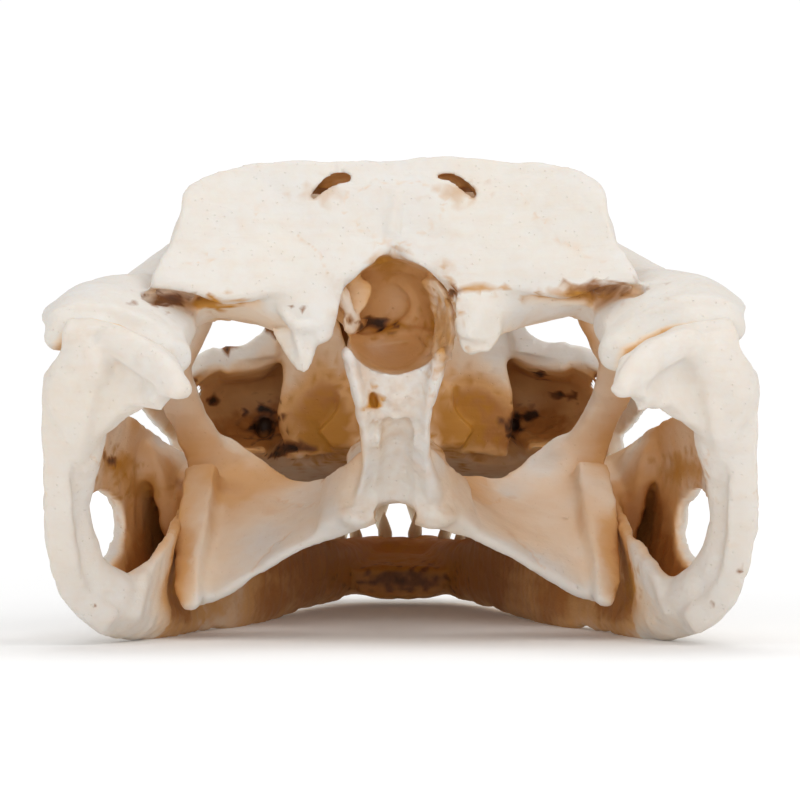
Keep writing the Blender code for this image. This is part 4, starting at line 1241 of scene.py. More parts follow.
@dataclass
class LowerJaw:
    """The lower jaw: both halves with their joint sockets, grown together at the chin.

    Args:
        teeth: Its teeth.
        sub_grain: The grain that its parts are melted to, in millimetres.
        grain: The grain that the whole is melted to, in millimetres.
        triangles: How many triangles are kept.
        flat_underside: How much of its lowest part is worn flat, in millimetres.
        relief: Its relief.
    """

    teeth: ToothRow
    sub_grain: float = 0.75
    grain: float = 0.5
    triangles: int = 180000
    flat_underside: float = 0.35
    relief: Relief = field(default_factory=lambda: Relief(pit_depth=0.34, seed=17))

    def jaw_ring(
        self, y: float, outer: float, breadth: float, top: float, under: float, foot: float, points: int = 24
    ) -> list[Place]:
        """One ring of a half, a tall rounded box whose foot leans inwards."""
        ring = []
        for k in range(points):
            turn = math.tau * k / points
            c, s = math.cos(turn), math.sin(turn)
            width = breadth / 2 * math.copysign(abs(c) ** 0.75, c)
            rise = (top - under) / 2 * math.copysign(abs(s) ** 0.8, s)
            lean = foot * (rise / (top - under) - 0.5)
            ring.append((outer - breadth / 2 + width + lean, y, (top + under) / 2 + rise))
        return ring

    def shapes(self) -> list[Shape]:
        """The rim seen from behind, the walls, the joint with its process, the halves and the chin."""
        rim = SHEET.line([
            (310, 40, -108), (330, 18, -105), (322, -14, -99), (323, -42, -94), (331, -84, -89),
            (333, -124, -86), (319, -168, -82), (286, -204, -74), (256, -215, -62), (228, -223, -47),
        ])
        wall = [
            [(58.9, -104, 49), (59.3, -101, 39), (59.3, -96, 25), (57.5, -88, 11), (51, -82, 4.4)],
            [(58.9, -88, 48), (59.4, -84, 37), (59.8, -82, 25), (57.4, -79, 10), (50.5, -76, 3.4)],
            [(57.2, -72, 46), (58.4, -70, 37), (58.4, -68, 23), (55.2, -66, 9), (46.6, -64, 2.4)],
            [(53.6, -52, 43), (54.8, -50, 35), (54.0, -48, 21), (49.4, -48, 7), (41, -48, 1.9)],
            [(48.4, -34, 39.5), (49.2, -32, 31), (48.0, -30, 18), (44.4, -30, 6), (37, -31, 1.6)],
            [(42.6, -18, 34.5), (43.0, -16, 27), (42.0, -14, 17), (39.4, -14, 6), (33.4, -16, 1.6)],
        ]
        inner = SHEET.drawn([
            [(274, -216, -77), (268, -196, -76), (264, -174, -75)],
            [(260, -222, -70), (254, -190, -70), (246, -156, -70)],
            [(246, -226, -61), (240, -182, -61), (232, -134, -59)],
            [(232, -227, -51), (230, -175, -50), (219, -112, -42)],
            [(214, -227, -39), (216, -160, -36), (212, -86, -31)],
            [(197, -226, -27), (204, -142, -24), (206, -62, -21)],
            [(170, -224, -14), (178, -132, -12), (186, -60, -14)],
        ])
        joint = SHEET.drawn([
            [(226, 18, -114), (262, 38, -110), (300, 56, -106), (334, 62, -104)],
            [(226, 28, -104), (262, 50, -103), (300, 66, -103), (332, 68, -102)],
            [(232, 32, -96), (264, 52, -95), (300, 64, -95), (330, 64, -95)],
        ])
        process = SHEET.drawn([
            [(218, 12, -119), (232, 40, -112), (262, 58, -108), (306, 70, -106), (334, 68, -104)],
            [(224, 4, -117), (240, 24, -110), (268, 36, -106), (306, 46, -106), (338, 44, -105)],
            [(236, 2, -113), (254, 6, -108), (278, 6, -105), (308, -6, -103), (334, -10, -102)],
            [(250, 2, -109), (266, -8, -106), (288, -26, -102), (308, -42, -98), (328, -46, -96)],
        ])
        chin = [
            [(x, y, z) for x, z in ((w, t - 1), (w * 0.5, t - 0.5), (-w * 0.5, t - 0.5), (-w, t - 1),
                                    (-w, u + 1), (-w * 0.5, u), (w * 0.5, u), (w, u + 1))]
            for y, w, t, u in CHIN
        ]
        sizes = [
            (4.6, 3.4), (4.8, 4.0), (4.8, 6.0), (5.0, 5.4), (4.6, 4.3),
            (4.4, 4.0), (4.6, 4.4), (5.4, 4.6), (5.0, 3.2), (3.2, 2.4),
        ]
        facet = SHEET.line([(292, 62, -109), (262, 46, -111), (238, 30, -115), (224, 12, -117.5)])
        crest = SHEET.line([(310, 54, -107), (309, 20, -107.5), (314, -20, -105), (322, -60, -98)])
        halves = curve_through(JAW, 4)
        return [
            bar(rim, sizes, up=AWAY),
            bar(facet, [(2.6, 1.8), (2.9, 2.4), (2.9, 2.6), (2.2, 2.2)], up=AWAY),
            bar(crest, [(1.4, 1.6), (1.2, 1.4), (1.2, 1.2), (0.8, 0.8)], up=AWAY),
            plate(wall, (5.0, 4.0, 3.2, 3.0, 2.8, 1.8)),
            plate(inner, (3.6, 2.6, 2.3, 2.2, 2.4, 2.6, 2.8)),
            plate(joint, 5.0),
            plate(process, (4.6, 4.6, 4.8, 4.6)),
            loft([self.jaw_ring(*station) for station in halves]),
            loft(chin),
            lump((0, 103.5, 10.4), (9.0, 6.4, 4.2)),
        ]

    def hollows(self) -> list[Shape]:
        """The window in the outer side of each half."""
        points, faces = lump((0, 0, 0), (14, 16.5, 7.2))
        lean = np.array([[1, 0, 0], [0, 1, 0.14], [0, 0, 1]])
        return [(points @ lean + (56, -56, 20), faces)]

    def pits(self) -> list[Shape]:
        """Small holes for nerves along the outer side and the back of the jaw."""
        along = [
            (20.5, 84), (22.6, 74), (24.6, 64), (26.8, 54),
            (29.0, 45), (31.2, 35), (33.6, 25), (36.0, 15),
        ]
        row = [lump((x, y, 11.5 + 0.05 * (84 - y)), (1.6, 0.8, 0.6)) for x, y in along]
        behind = SHEET.line([(307, -205, -86), (340, -168, -87)])
        return row + [lump(place, (0.5, 1.6, 0.5)) for place in behind]

    def sculptured(self, places: np.ndarray, normals: np.ndarray) -> np.ndarray:
        """How much each place belongs to the pitted outer bone at the angle of the jaw."""
        outward = normals[:, 0] * np.sign(places[:, 0])
        y, z = places[:, 1], places[:, 2]
        far_out = fade(outward, 0.5, 0.8) * fade(np.abs(places[:, 0]), 36, 42)
        angle = fade(-y, -6, 16) * fade(94 + y, 0, 8) * far_out
        chin = fade(y, 84, 96) * fade(-normals[:, 2], 0.3, 0.7) * 0.7
        return np.maximum(angle * fade(40 - z, 0, 6), chin)

    def spongy(self, places: np.ndarray) -> np.ndarray:
        """How much each place belongs to rough bone: the back of the chin."""
        ragged = waves(places, 5, 92)
        chin = Patch(Mark.SPONGE, (5, -176), (44, 20), (60, 100), 0.8)
        ridge = Patch(Mark.SPONGE, (-318, 60), (10, 26), (-125, -95), 0.3)
        return np.maximum(chin.weigh(places, ragged), ridge.weigh(places, ragged))

    def seams(self) -> list[Seam]:
        """The lines where the bones of the jaw meet."""
        return [
            Seam(Facing.BESIDE, ((44, 9), (20, 12), (0, 17), (-20, 24), (-38, 29))),
            Seam(Facing.BESIDE, ((30, 20), (8, 24), (-12, 27), (-34, 33))),
            Seam(Facing.BESIDE, ((-72, 22), (-84, 24), (-98, 28), (-108, 38))),
            Seam(Facing.BELOW, ((0, 112), (0, 98), (0, 80)), both_sides=False),
            Seam(Facing.BELOW, ((14, 86), (20, 56), (28, 20), (33, -4))),
            Seam(Facing.BEHIND, ((308, -52), (292, -96), (270, -134), (244, -150)), width=0.2),
        ]

    def build(self) -> Casting:
        """Make the lower jaw as drawn, before it is laid in the frame."""
        jaw = Casting("mandible_bone", joined(self.shapes())).melt(self.sub_grain)
        jaw.cut(self.hollows(), self.sub_grain)
        jaw.melt(self.grain)
        jaw.cut(self.pits(), self.grain)
        jaw.soften(5)
        places, normals = jaw.places(), jaw.normals()
        bulges = [(p[0] * side.value, p[1], p[2] - 2.5) for p in self.teeth.roots() for side in Side]
        self.relief.apply(jaw, self.sculptured(places, normals), self.spongy(places), self.seams(), bulges)
        places = jaw.places()
        places[:, 2] = np.maximum(places[:, 2], places[:, 2].min() + self.flat_underside)
        jaw.move_to(places)
        return jaw.thin_out(self.triangles)

    def stains(self) -> list[Patch]:
        """The stains of the lower jaw and its patches of painted shade, as the eye behind it sees them."""
        return [
            # Painted shade: more on the inner sides of the halves, less at the back of the jaw
            *patches_on_both_sides(Mark.SHADE, (120, -205), (240, 90), (-58, 104), 0.19),
            *patches_on_both_sides(Mark.SHADE, (262, -60), (70, 70), (-94, 10), -0.16),
            # Dark and amber at the back of the chin: painted shade between the jaws, with stain on its rough
            # bone
            Patch(Mark.DARK, (5, -180), (42, 11), (60, 104), 0.62),
            Patch(Mark.AMBER, (5, -172), (60, 26), (50, 104), 0.6),
            # Painted shade where the rims end at the inner walls
            *patches_on_both_sides(Mark.SHADE, (222, -206), (30, 34), (-80, -30), 0.22),
            # Dark marks in and beside the nerve holes at the back: painted shade
            Patch(Mark.DARK, (-307, -205), (2.6, 2.2), (-100, -60), 0.7),
            Patch(Mark.DARK, (340, -168), (2.6, 2.6), (-100, -60), 0.7),
            Patch(Mark.DARK, (314, -202), (2.2, 2.2), (-100, -60), 0.6),
            Patch(Mark.AMBER, (-282, -64), (18, 12), (-94, -20), 0.8),
            Patch(Mark.DARK, (-288, -60), (6, 5), (-94, -20), 0.8),
            Patch(Mark.AMBER, (-258, -86), (20, 12), (-94, -20), 0.6),
            Patch(Mark.AMBER, (284, -70), (26, 16), (-94, -20), 0.6),
            # Amber strips on the inner walls behind the rims: painted brown shade
            Patch(Mark.AMBER, (231, -184), (5, 16), (-76, -40), 1.0),
            Patch(Mark.AMBER, (-225, -183), (3, 14), (-76, -40), 0.8),
        ]

    def dress(self, casting: Casting, lay: Lay, finish: "BoneFinish") -> bpy.types.Object:
        """Mark the stains and the painted shade, lay the jaw in the frame and give it its finish."""
        return dress_bone(casting, self.stains(), lay, finish, "mandible")


def dress_bone(
    casting: Casting, stains: list[Patch], lay: Lay, finish: "BoneFinish", node: str
) -> bpy.types.Object:
    """Mark the stains and painted shade of a bone, lay it in the frame and give it its finish.

    Args:
        casting: The bone as drawn.
        stains: Its stains and patches of painted shade.
        lay: How it lies in the frame.
        finish: Its finish.
        node: The node that it stands for.

    Returns:
        The finished object.
    """
    places = casting.places()
    ragged = waves(places, 2.4, 77)
    facing = fade(-casting.normals()[:, 1], -0.35, 0.05)
    # Amber and dark marks hold stains, and also painted shade in holes, cracks and hollows; shade marks are
    # summed
    for mark in (Mark.AMBER, Mark.DARK):
        found = [stain.weigh(places, ragged, facing) for stain in stains if stain.mark is mark]
        casting.mark(mark.value, np.max(found, axis=0))
    shades = [stain.weigh(places, ragged * 0.3, facing) for stain in stains if stain.mark is Mark.SHADE]
    casting.mark(Mark.SHADE.value, np.sum(shades, axis=0))
    casting.move_to(lay.put(places))
    casting.obj.data.shade_smooth()
    casting.obj.data.materials.clear()
    casting.obj.data.materials.append(finish.material())
    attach(casting.obj, "root")
    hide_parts(node)
    return casting.obj


@dataclass
class Enclosure:
    """How closed in each point of the bones is, which is where painted shade turns them brown.

    Args:
        reach: How far away a wall still counts, in millimetres.
        ways: How many ways are looked along.
        looked: How many points of a bone are looked from, the others taking it from the nearest.
        lifted: How far off the skin the nearest is sought, which keeps the sides of a wall apart.
        evened: How many times the result is evened out.
        floor_share: How much the floor counts as a wall, which paints shade on the undersides near it.
    """

    reach: float = 75.0
    ways: int = 40
    looked: int = 22000
    lifted: float = 4.0
    evened: int = 10
    floor_share: float = 0.55

    def directions(self) -> np.ndarray:
        """Ways spread evenly over a ball."""
        k = np.arange(self.ways) + 0.5
        tilt = np.arccos(1 - 2 * k / self.ways)
        turn = math.pi * (1 + 5**0.5) * k
        return np.stack([np.sin(tilt) * np.cos(turn), np.sin(tilt) * np.sin(turn), np.cos(tilt)], axis=1)

    def tree(self, castings: list[Casting]) -> BVHTree:
        """All the bones as one body to look at."""
        verts, faces, count = [], [], 0
        for casting in castings:
            mesh = casting.obj.data
            mesh.calc_loop_triangles()
            tris = np.empty(len(mesh.loop_triangles) * 3, np.int32)
            mesh.loop_triangles.foreach_get("vertices", tris)
            places = casting.places()
            faces += (tris.reshape(-1, 3) + count).tolist()
            verts += places.tolist()
            count += len(places)
        return BVHTree.FromPolygons(verts, faces, all_triangles=True)

    def measure(self, castings: list[Casting]) -> None:
        """Mark each casting with how closed in its points are, from 0 to 1, the mask of its painted shade.
        """
        tree = self.tree(castings)
        ways = self.directions()
        vectors = [Vector(way) for way in ways]
        draw = np.random.default_rng(3)
        for casting in castings:
            places, normals = casting.places(), casting.normals()
            chosen = draw.permutation(len(places))[: self.looked]
            found, lifted = KDTree(len(chosen)), places + normals * self.lifted
            closed = np.zeros(len(chosen))
            for order, index in enumerate(chosen):
                start = Vector(places[index] + normals[index] * 0.25)
                facing = ways @ normals[index]
                total = blocked = 0.0
                for number in np.flatnonzero(facing > 0.15):
                    weight = float(facing[number])
                    total += weight
                    if tree.ray_cast(start, vectors[number], self.reach)[0] is not None:
                        blocked += weight
                    elif vectors[number].z < 0 and -start.z / vectors[number].z < self.reach:
                        blocked += weight * self.floor_share
                closed[order] = blocked / max(total, 1e-6)
                found.insert(lifted[index], order)
            found.balance()
            nearest = np.fromiter((found.find(place)[1] for place in lifted), np.int64, len(lifted))
            casting.mark("closed", casting.spread(closed[nearest], self.evened))


class NodeBench:
    """A node tree at work, with short calls to add and link nodes.

    Args:
        tree: The tree of a material or of a group.
    """

    def __init__(self, tree: bpy.types.NodeTree) -> None:
        """Keep the tree."""
        self.tree = tree

    def add(self, kind: str, inputs: dict | None = None, **settings: object) -> bpy.types.Node:
        """Add a node.

        Args:
            kind: The name of its type.
            inputs: Values, or sockets to link from, by the name or number of the input.
            settings: Its other settings.

        Returns:
            The node.
        """
        node = self.tree.nodes.new(kind)
        for name, value in settings.items():
            setattr(node, name, value)
        for key, value in (inputs or {}).items():
            if isinstance(value, bpy.types.NodeSocket):
                self.tree.links.new(value, node.inputs[key])
            else:
                node.inputs[key].default_value = value
        return node

    def math(self, operation: str, a: object, b: object = 0.0) -> bpy.types.NodeSocket:
        """A math node's result."""
        return self.add("ShaderNodeMath", {0: a, 1: b}, operation=operation).outputs[0]

    def mix(self, share: object, a: object, b: object, blend: str = "MIX") -> bpy.types.NodeSocket:
        """Two colours mixed."""
        inputs = {"Factor": share, 6: a, 7: b}
        return self.add("ShaderNodeMix", inputs, data_type="RGBA", blend_type=blend).outputs[2]

    def attribute(self, name: str) -> bpy.types.NodeSocket:
        """A point attribute's value."""
        return self.add("ShaderNodeAttribute", attribute_name=name, attribute_type="GEOMETRY").outputs["Fac"]

    def noise(self, vector: object, scale: object, detail: float = 2.0) -> bpy.types.NodeSocket:
        """A noise texture's value."""
        inputs = {"Vector": vector, "Scale": scale, "Detail": detail}
        return self.add("ShaderNodeTexNoise", inputs).outputs[0]

    def smooth_range(self, value: object, low: float, high: float) -> bpy.types.NodeSocket:
        """0 where the value is low, 1 where it is high, and smoothly between them."""
        inputs = {0: value, 1: low, 2: high}
        return self.add("ShaderNodeMapRange", inputs, interpolation_type="SMOOTHSTEP").outputs[0]

    def straight_range(self, value: object, low: float, high: float) -> bpy.types.NodeSocket:
        """0 where the value is low, 1 where it is high, and evenly between them."""
        return self.add("ShaderNodeMapRange", {0: value, 1: low, 2: high}).outputs[0]


class EffectGroups:
    """The effects that more than one finish uses, each a node group that is built once."""

    def __init__(self) -> None:
        """Start with no group."""
        self.made: dict[str, bpy.types.NodeTree] = {}

    def start(
        self, name: str, inputs: dict[str, tuple[str, object]], output: str
    ) -> tuple[NodeBench, dict[str, bpy.types.NodeSocket], bpy.types.Node]:
        """Begin a group.

        Args:
            name: The group's name.
            inputs: The type and default value of each input, by name.
            output: The name of its one output.

        Returns:
            The bench, the input sockets by name, and the output node.
        """
        tree = bpy.data.node_groups.new(name, "ShaderNodeTree")
        for key, (kind, value) in inputs.items():
            socket = tree.interface.new_socket(key, in_out="INPUT", socket_type=kind)
            if value is not None:
                socket.default_value = value
        tree.interface.new_socket(output, in_out="OUTPUT", socket_type="NodeSocketFloat")
        bench = NodeBench(tree)
        entry = bench.add("NodeGroupInput")
        return bench, {key: entry.outputs[key] for key in inputs}, bench.add("NodeGroupOutput")

    def mottle(self) -> bpy.types.NodeTree:
        """Soft cloudy patches, from 0 to 1."""
        if "mottle" not in self.made:
            inputs = {"Vector": ("NodeSocketVector", None), "Scale": ("NodeSocketFloat", 60.0),
                      "Contrast": ("NodeSocketFloat", 2.0)}
            bench, given, out = self.start("Bone mottle", inputs, "Mask")
            noise = bench.noise(given["Vector"], given["Scale"], detail=4.0)
            centred = bench.math("SUBTRACT", noise, 0.5)
            scaled = bench.math("MULTIPLY", centred, given["Contrast"])
            mask = bench.add("ShaderNodeMath", {0: scaled, 1: 0.5}, operation="ADD", use_clamp=True)
            bench.tree.links.new(mask.outputs[0], out.inputs[0])
            self.made["mottle"] = bench.tree
        return self.made["mottle"]

    def fibres(self) -> bpy.types.NodeTree:
        """Fine streaks along one way, as a height from 0 to 1."""
        if "fibres" not in self.made:
            inputs = {"Vector": ("NodeSocketVector", None), "Scale": ("NodeSocketFloat", 900.0),
                      "Stretch": ("NodeSocketVector", (0.1, 1.0, 1.0))}
            bench, given, out = self.start("Bone fibres", inputs, "Height")
            ways = {0: given["Vector"], 1: given["Stretch"]}
            long = bench.add("ShaderNodeVectorMath", ways, operation="MULTIPLY")
            noise = bench.noise(long.outputs[0], given["Scale"])
            bench.tree.links.new(noise, out.inputs[0])
            self.made["fibres"] = bench.tree
        return self.made["fibres"]

    def pores(self) -> bpy.types.NodeTree:
        """Scattered fine pores, 1 in a pore."""
        if "pores" not in self.made:
            inputs = {"Vector": ("NodeSocketVector", None), "Scale": ("NodeSocketFloat", 900.0),
                      "Size": ("NodeSocketFloat", 0.25)}
            bench, given, out = self.start("Bone pores", inputs, "Mask")
            cells = bench.add("ShaderNodeTexVoronoi", {"Vector": given["Vector"], "Scale": given["Scale"]})
            share = bench.math("DIVIDE", cells.outputs["Distance"], given["Size"])
            mask = bench.add("ShaderNodeMath", {0: 1.0, 1: share}, operation="SUBTRACT", use_clamp=True)
            bench.tree.links.new(mask.outputs[0], out.inputs[0])
            self.made["pores"] = bench.tree
        return self.made["pores"]

    def place(self, bench: NodeBench, tree: bpy.types.NodeTree, inputs: dict) -> bpy.types.NodeSocket:
        """Put a group into a material.

        Args:
            bench: The material's bench.
            tree: The group.
            inputs: Its values and links by name.

        Returns:
            Its output.
        """
        node = bench.tree.nodes.new("ShaderNodeGroup")
        node.node_tree = tree
        for key, value in inputs.items():
            if isinstance(value, bpy.types.NodeSocket):
                bench.tree.links.new(value, node.inputs[key])
            else:
                node.inputs[key].default_value = value
        return node.outputs[0]


EFFECTS = EffectGroups()


@dataclass(frozen=True)
class BoneFinish:
    """Dry bleached bone, with painted shade that turns it brown where it is closed in.

    Args:
        name: The material's name.
        pale: The colour of the bone in the open.
        cream: The colour of its warmer patches.
        peach: The painted shade colour where it begins to be closed in.
        tan: The painted shade colour where it is mostly closed in, also the colour of grain and seams.
        deep: The painted shade colour at the innermost.
        amber: The colour of old stains, of painted brown shade in some hollows, of spongy bone and of pores.
        brown: The colour around the darkest stains and the painted shade in holes.
        dark: The colour of the darkest stains, and of the painted shade in holes, cracks and under ledges.
        roughness: How rough it is.
    """

    name: str
    pale: Color = (0.70, 0.69, 0.67)
    cream: Color = (0.73, 0.69, 0.625)
    peach: Color = (0.79, 0.64, 0.49)
    tan: Color = (0.68, 0.38, 0.15)
    deep: Color = (0.44, 0.175, 0.035)
    amber: Color = (0.50, 0.22, 0.02)
    brown: Color = (0.26, 0.10, 0.025)
    dark: Color = (0.035, 0.013, 0.004)
    roughness: float = 0.52

    def material(self) -> bpy.types.Material:
        """Make the material."""
        mat = bpy.data.materials.new(self.name)
        mat.use_nodes = True
        bench = NodeBench(mat.node_tree)
        shader = mat.node_tree.nodes["Principled BSDF"]
        where = bench.add("ShaderNodeTexCoord").outputs["Object"]
        patches = EFFECTS.place(bench, EFFECTS.mottle(), {"Vector": where, "Scale": 55.0, "Contrast": 2.2})
        specks = EFFECTS.place(bench, EFFECTS.mottle(), {"Vector": where, "Scale": 420.0, "Contrast": 1.6})
        fibres = EFFECTS.place(
            bench, EFFECTS.fibres(), {"Vector": where, "Scale": 700.0, "Stretch": (0.12, 0.5, 1.0)}
        )
        pores = EFFECTS.place(bench, EFFECTS.pores(), {"Vector": where, "Scale": 780.0, "Size": 0.15})
        # Painted shade: the closed-in measure, with the shade patches, takes the bone through peach and tan
        # to deep brown
        closed = bench.attribute("closed")
        closed = bench.math("ADD", bench.math("ADD", closed, -0.06), bench.math("MULTIPLY", patches, 0.12))
        closed = bench.math("ADD", closed, bench.attribute("shade"))
        open_bone = bench.mix(patches, (*self.pale, 1), (*self.cream, 1))
        color = bench.mix(bench.smooth_range(closed, 0.46, 0.66), open_bone, (*self.peach, 1))
        color = bench.mix(bench.smooth_range(closed, 0.60, 0.82), color, (*self.tan, 1))
        color = bench.mix(bench.smooth_range(closed, 0.82, 0.98), color, (*self.deep, 1))
        faint = bench.math("MULTIPLY", bench.math("MULTIPLY", specks, fibres), 0.30)
        color = bench.mix(faint, color, (*self.tan, 1))
        seam = bench.math("MULTIPLY", bench.attribute("seam"), 0.34)
        color = bench.mix(seam, color, (*self.tan, 1))
        pitted = bench.math("MULTIPLY", bench.math("MULTIPLY", bench.attribute("sponge"), specks), 0.45)
        color = bench.mix(pitted, color, (*self.amber, 1))
        color = bench.mix(bench.math("MULTIPLY", pores, 0.08), color, (*self.amber, 1))
        # Amber marks: old stains, and painted brown shade in some hollows
        amber_stain_and_shade = bench.math("MULTIPLY", bench.attribute("amber"), bench.math("ADD", patches, 0.6))
        color = bench.mix(bench.straight_range(amber_stain_and_shade, 0.08, 0.9), color, (*self.amber, 1))
        # Dark marks: dark stains, and painted shade in holes, cracks and under ledges
        dark_stain_and_shade = bench.math("MULTIPLY", bench.attribute("dark"), bench.math("ADD", specks, 0.55))
        color = bench.mix(bench.straight_range(dark_stain_and_shade, 0.12, 0.5), color, (*self.brown, 1))
        color = bench.mix(bench.straight_range(dark_stain_and_shade, 0.45, 0.95), color, (*self.dark, 1))
        bench.tree.links.new(color, shader.inputs["Base Color"])
        rough = bench.math("MULTIPLY_ADD", specks, 0.16)
        rough.node.inputs[2].default_value = self.roughness
        bench.tree.links.new(rough, shader.inputs["Roughness"])
        holes = bench.math("MULTIPLY", pores, 0.7)
        grain = bench.math("SUBTRACT", bench.math("MULTIPLY", fibres, 0.6), holes)
        grain = bench.math("ADD", grain, bench.math("MULTIPLY", specks, 0.5))
        bump = bench.add("ShaderNodeBump", {"Height": grain, "Strength": 0.6, "Distance": 0.0004})
        bench.tree.links.new(bump.outputs[0], shader.inputs["Normal"])
        shader.inputs["Subsurface Weight"].default_value = 0.14
        shader.inputs["Subsurface Radius"].default_value = (1.0, 0.55, 0.3)
        shader.inputs["Subsurface Scale"].default_value = 0.0014
        return mat


@dataclass(frozen=True)
class EnamelFinish:
    """Glossy ivory enamel, warmer and brown towards the root.

    Args:
        name: The material's name.
        tip: The colour at the tip of a crown.
        neck: The colour at its neck.
        stain: The colour of its stains.
        roughness: How rough it is.
    """

    name: str
    tip: Color = (0.82, 0.74, 0.60)
    neck: Color = (0.60, 0.42, 0.24)
    stain: Color = (0.36, 0.19, 0.07)
    roughness: float = 0.26

    def material(self) -> bpy.types.Material:
        """Make the material."""
        mat = bpy.data.materials.new(self.name)
        mat.use_nodes = True
        bench = NodeBench(mat.node_tree)
        shader = mat.node_tree.nodes["Principled BSDF"]
        where = bench.add("ShaderNodeTexCoord").outputs["Object"]
        patches = EFFECTS.place(bench, EFFECTS.mottle(), {"Vector": where, "Scale": 240.0, "Contrast": 2.4})
        streaks = EFFECTS.place(
            bench, EFFECTS.fibres(), {"Vector": where, "Scale": 1600.0, "Stretch": (1.0, 1.0, 0.1)}
        )
        crown = bench.straight_range(bench.attribute("crown"), 0.05, 0.6)
        color = bench.mix(crown, (*self.neck, 1), (*self.tip, 1))
        worn = bench.math("MULTIPLY", patches, bench.math("MULTIPLY", streaks, 0.5))
        color = bench.mix(worn, color, (*self.stain, 1))
        bench.tree.links.new(color, shader.inputs["Base Color"])
        rough = bench.math("ADD", bench.math("MULTIPLY", patches, 0.14), self.roughness)
        bench.tree.links.new(rough, shader.inputs["Roughness"])
        bump = bench.add("ShaderNodeBump", {"Height": streaks, "Strength": 0.25, "Distance": 0.0002})
        bench.tree.links.new(bump.outputs[0], shader.inputs["Normal"])
        shader.inputs["Subsurface Weight"].default_value = 0.2
        shader.inputs["Subsurface Radius"].default_value = (1.0, 0.6, 0.35)
        shader.inputs["Subsurface Scale"].default_value = 0.0015
        return mat


@dataclass
class Studio:
    """A white floor and backdrop, soft light from all round with a key from the right, and the camera.

    Args:
        focal_length: The camera's lens in millimetres.
        sensor_width: The width of its sensor in millimetres.
        sight: How far it sees, in metres.
        floor_size: The side of the floor in metres.
        world_light: The strength of the light from all round.
        key_power: The power of the key light, in watts.
        fill_power: The power of the fill light.
        front_power: The power of the light above the camera.
        top_power: The power of the light overhead.
    """

    focal_length: float = 220.5
    sensor_width: float = 36.0
    sight: float = 100.0
    floor_size: float = 80.0
    world_light: float = 0.66
    key_power: float = 3.9
    fill_power: float = 1.4
    front_power: float = 2.6
    top_power: float = 10.0

    def floor(self) -> None:
        """A plain pale floor that glows, faintly near the skull and more towards the horizon."""
        half = self.floor_size / 2
        mesh = bpy.data.meshes.new("floor")
        corners = [(-half, -half, 0), (half, -half, 0), (half, half, 0), (-half, half, 0)]
        mesh.from_pydata(corners, [], [(0, 1, 2, 3)])
        obj = bpy.data.objects.new("floor", mesh)
        bpy.context.scene.collection.objects.link(obj)
        mat = bpy.data.materials.new("white floor")
        mat.use_nodes = True
        shader = mat.node_tree.nodes["Principled BSDF"]
        bench = NodeBench(mat.node_tree)
        where = bench.add("ShaderNodeTexCoord").outputs["Object"]
        cloud = bench.noise(where, 6.0, detail=3.0)
        cloud.node.inputs["Roughness"].default_value = 0.55
        color = bench.mix(cloud, (0.93, 0.93, 0.93, 1), (0.95, 0.95, 0.95, 1))
        bench.tree.links.new(color, shader.inputs["Base Color"])
        shader.inputs["Roughness"].default_value = 0.9
        shader.inputs["Specular IOR Level"].default_value = 0.0
        shader.inputs["Emission Color"].default_value = (1, 1, 1, 1)
        # Painted light: the floor glows more the farther it lies from the skull, fading into the white
        # backdrop
        way = bench.add("ShaderNodeVectorMath", {0: where}, operation="LENGTH")
        glow = bench.add("ShaderNodeMapRange", {0: way.outputs["Value"], 1: 0.12, 2: 1.6, 3: 0.04, 4: 0.42})
        bench.tree.links.new(glow.outputs[0], shader.inputs["Emission Strength"])
        obj.data.materials.append(mat)

    def area_light(self, name: str, place: Place, size: float, power: float, color: Color) -> None:
        """A square light that looks at the skull."""
        light = bpy.data.lights.new(name, "AREA")
        light.shape = "SQUARE"
        light.size = size
        light.energy = power
        light.color = color
        obj = bpy.data.objects.new(name, light)
        bpy.context.scene.collection.objects.link(obj)
        obj.location = place
        obj.rotation_euler = (Vector((0, 0, 0.04)) - Vector(place)).to_track_quat("-Z", "Y").to_euler()

    def light(self) -> None:
        """White light from all round, a key from the upper right beside the eye, and fills."""
        scene = bpy.context.scene
        world = bpy.data.worlds.new("white room")
        world.use_nodes = True
        ground = world.node_tree.nodes["Background"]
        bench = NodeBench(world.node_tree)
        seen = bench.add("ShaderNodeLightPath").outputs["Is Camera Ray"]
        ground.inputs["Color"].default_value = (1, 1, 1, 1)
        strength = bench.add("ShaderNodeMapRange", {0: seen, 3: self.world_light, 4: 1.02})
        bench.tree.links.new(strength.outputs[0], ground.inputs["Strength"])
        scene.world = world
        scene.view_settings.view_transform = "Standard"
        scene.view_settings.look = "None"
        self.area_light("key", (0.75, -0.75, 0.95), 0.7, self.key_power, (1.0, 0.985, 0.96))
        self.area_light("fill", (-0.9, -0.7, 0.45), 0.9, self.fill_power, (0.96, 0.98, 1.0))
        self.area_light("front", (0.1, -1.3, 0.14), 0.5, self.front_power, (1.0, 1.0, 1.0))
        self.area_light("top", (0.1, 0.2, 2.0), 1.4, self.top_power, (1.0, 1.0, 1.0))

    def camera(self, shift: Place) -> None:
        """A level camera at the eye behind the skull."""
        data = bpy.data.cameras.new("camera")
        data.lens = self.focal_length
        data.sensor_width = self.sensor_width
        data.clip_end = self.sight
        obj = bpy.data.objects.new("camera", data)
        bpy.context.scene.collection.objects.link(obj)
        eye = (shift[0], SHEET.eye_y + shift[1], SHEET.eye_z + shift[2])
        obj.location = [c * MM for c in eye]
        obj.rotation_euler = (math.radians(90), 0, 0)
        bpy.context.scene.camera = obj

    def build(self, shift: Place) -> None:
        """Set up the floor, the light and the camera."""
        self.floor()
        self.light()
        self.camera(shift)


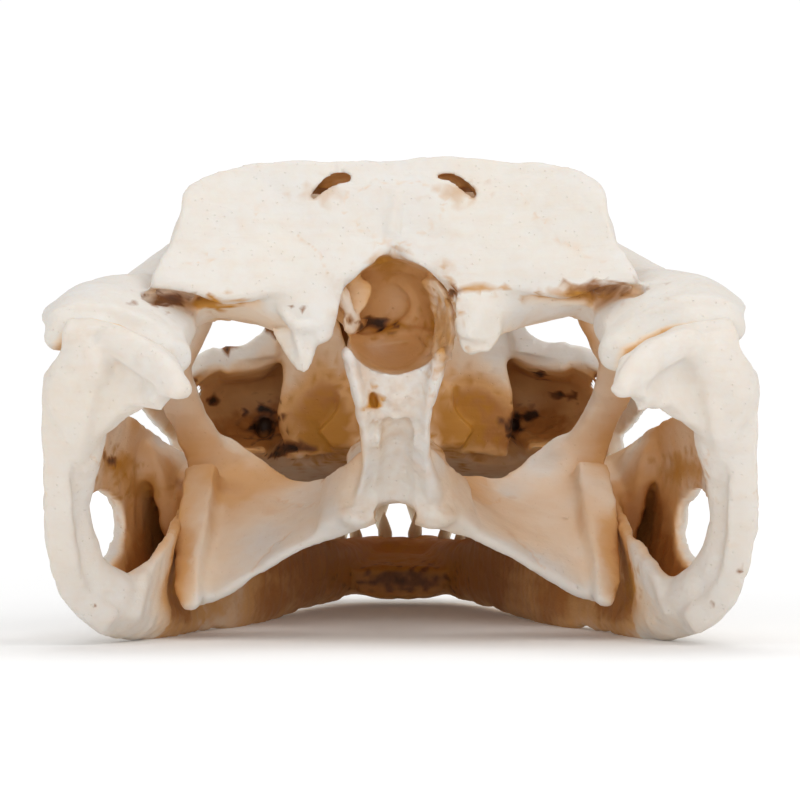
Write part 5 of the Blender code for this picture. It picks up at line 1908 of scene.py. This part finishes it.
def tooth_rows() -> tuple[ToothRow, ToothRow]:
    """The rows of the upper and the lower jaw."""
    upper_edge = [SNOUT_TIP] + [(s[1], s[0], s[2]) for s in reversed(SNOUT)]
    lower_edge = [JAW_TIP] + [(s[1], s[0], s[3]) for s in reversed(JAW[1:])]
    upper_heights = (
        7.6, 8.0, 7.4, 6.6, 4.4, 4.0, 4.8, 6.8, 7.2, 5.4, 4.2, 4.0, 4.2, 4.2, 3.8, 3.4, 3.0, 2.8, 2.4,
    )
    lower_heights = (
        4.6, 3.6, 3.8, 5.0, 3.8, 3.4, 3.4, 3.4, 3.4, 3.6, 3.8, 4.0, 3.6, 3.2, 2.8, 2.6, 2.2, 2.0,
    )
    upper = ToothRow(
        "upper", upper_edge, inset=2.2, heights=upper_heights, start=1.6, end=4.0, way=-1, lean=0.8, nodes=15
    )
    lower = ToothRow(
        "lower", lower_edge, inset=2.9, heights=lower_heights, start=1.2, end=6.0, way=1, lean=0.4, nodes=14
    )
    return upper, lower


def frame_shift(row: ToothRow) -> Place:
    """The way from the drawing's origin to the frame's, read from the frame's first two lower teeth.

    Args:
        row: The row of the lower jaw, which isn't rolled.

    Returns:
        The shift in millimetres.
    """
    root = row.roots()[0]
    boxes = [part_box(f"tooth_lower_{side.name.lower()}_01") for side in Side]
    middle_x = sum(corner.x for box in boxes for corner in box) / 4 / MM
    right = [box for side, box in zip(Side, boxes) if side is Side.RIGHT][0]
    middle_y = (right[0].y + right[1].y) / 2 / MM
    low_z = right[0].z / MM
    return (middle_x, middle_y - root[1], low_z - (root[2] - row.root_depth))


def main() -> None:
    """Build the skull piece by piece, dress it, and set up the studio."""
    logging.basicConfig(level=logging.INFO, format="%(name)s: %(message)s")
    upper, lower = tooth_rows()
    shift = frame_shift(lower)
    LOG.info("the drawing is shifted by %s mm", [round(c, 3) for c in shift])
    over = Lay(shift, math.radians(CRANIUM_ROLL), CRANIUM_ASIDE)
    under = Lay(shift)
    cranium, jaw = Cranium(upper), LowerJaw(lower)
    skull_cast, jaw_cast = cranium.build(), jaw.build()
    LOG.info("the bones are cast")
    # The closed-in measure is the mask of the painted shade in the bones' finish
    Enclosure().measure([skull_cast, jaw_cast])
    LOG.info("the bones are measured")
    cranium.dress(skull_cast, over, BoneFinish("cranium bone"))
    jaw.dress(jaw_cast, under, BoneFinish("jaw bone", pale=(0.71, 0.685, 0.65), cream=(0.73, 0.67, 0.59)))
    upper.build(over, EnamelFinish("upper enamel"))
    lower.build(under, EnamelFinish("lower enamel", tip=(0.78, 0.68, 0.52)))
    Studio().build(shift)
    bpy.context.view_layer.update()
    for piece in (skull_cast.obj, jaw_cast.obj):
        LOG.info("%s has %d faces", piece.name, len(piece.data.polygons))


if __name__ == "__main__":
    main()
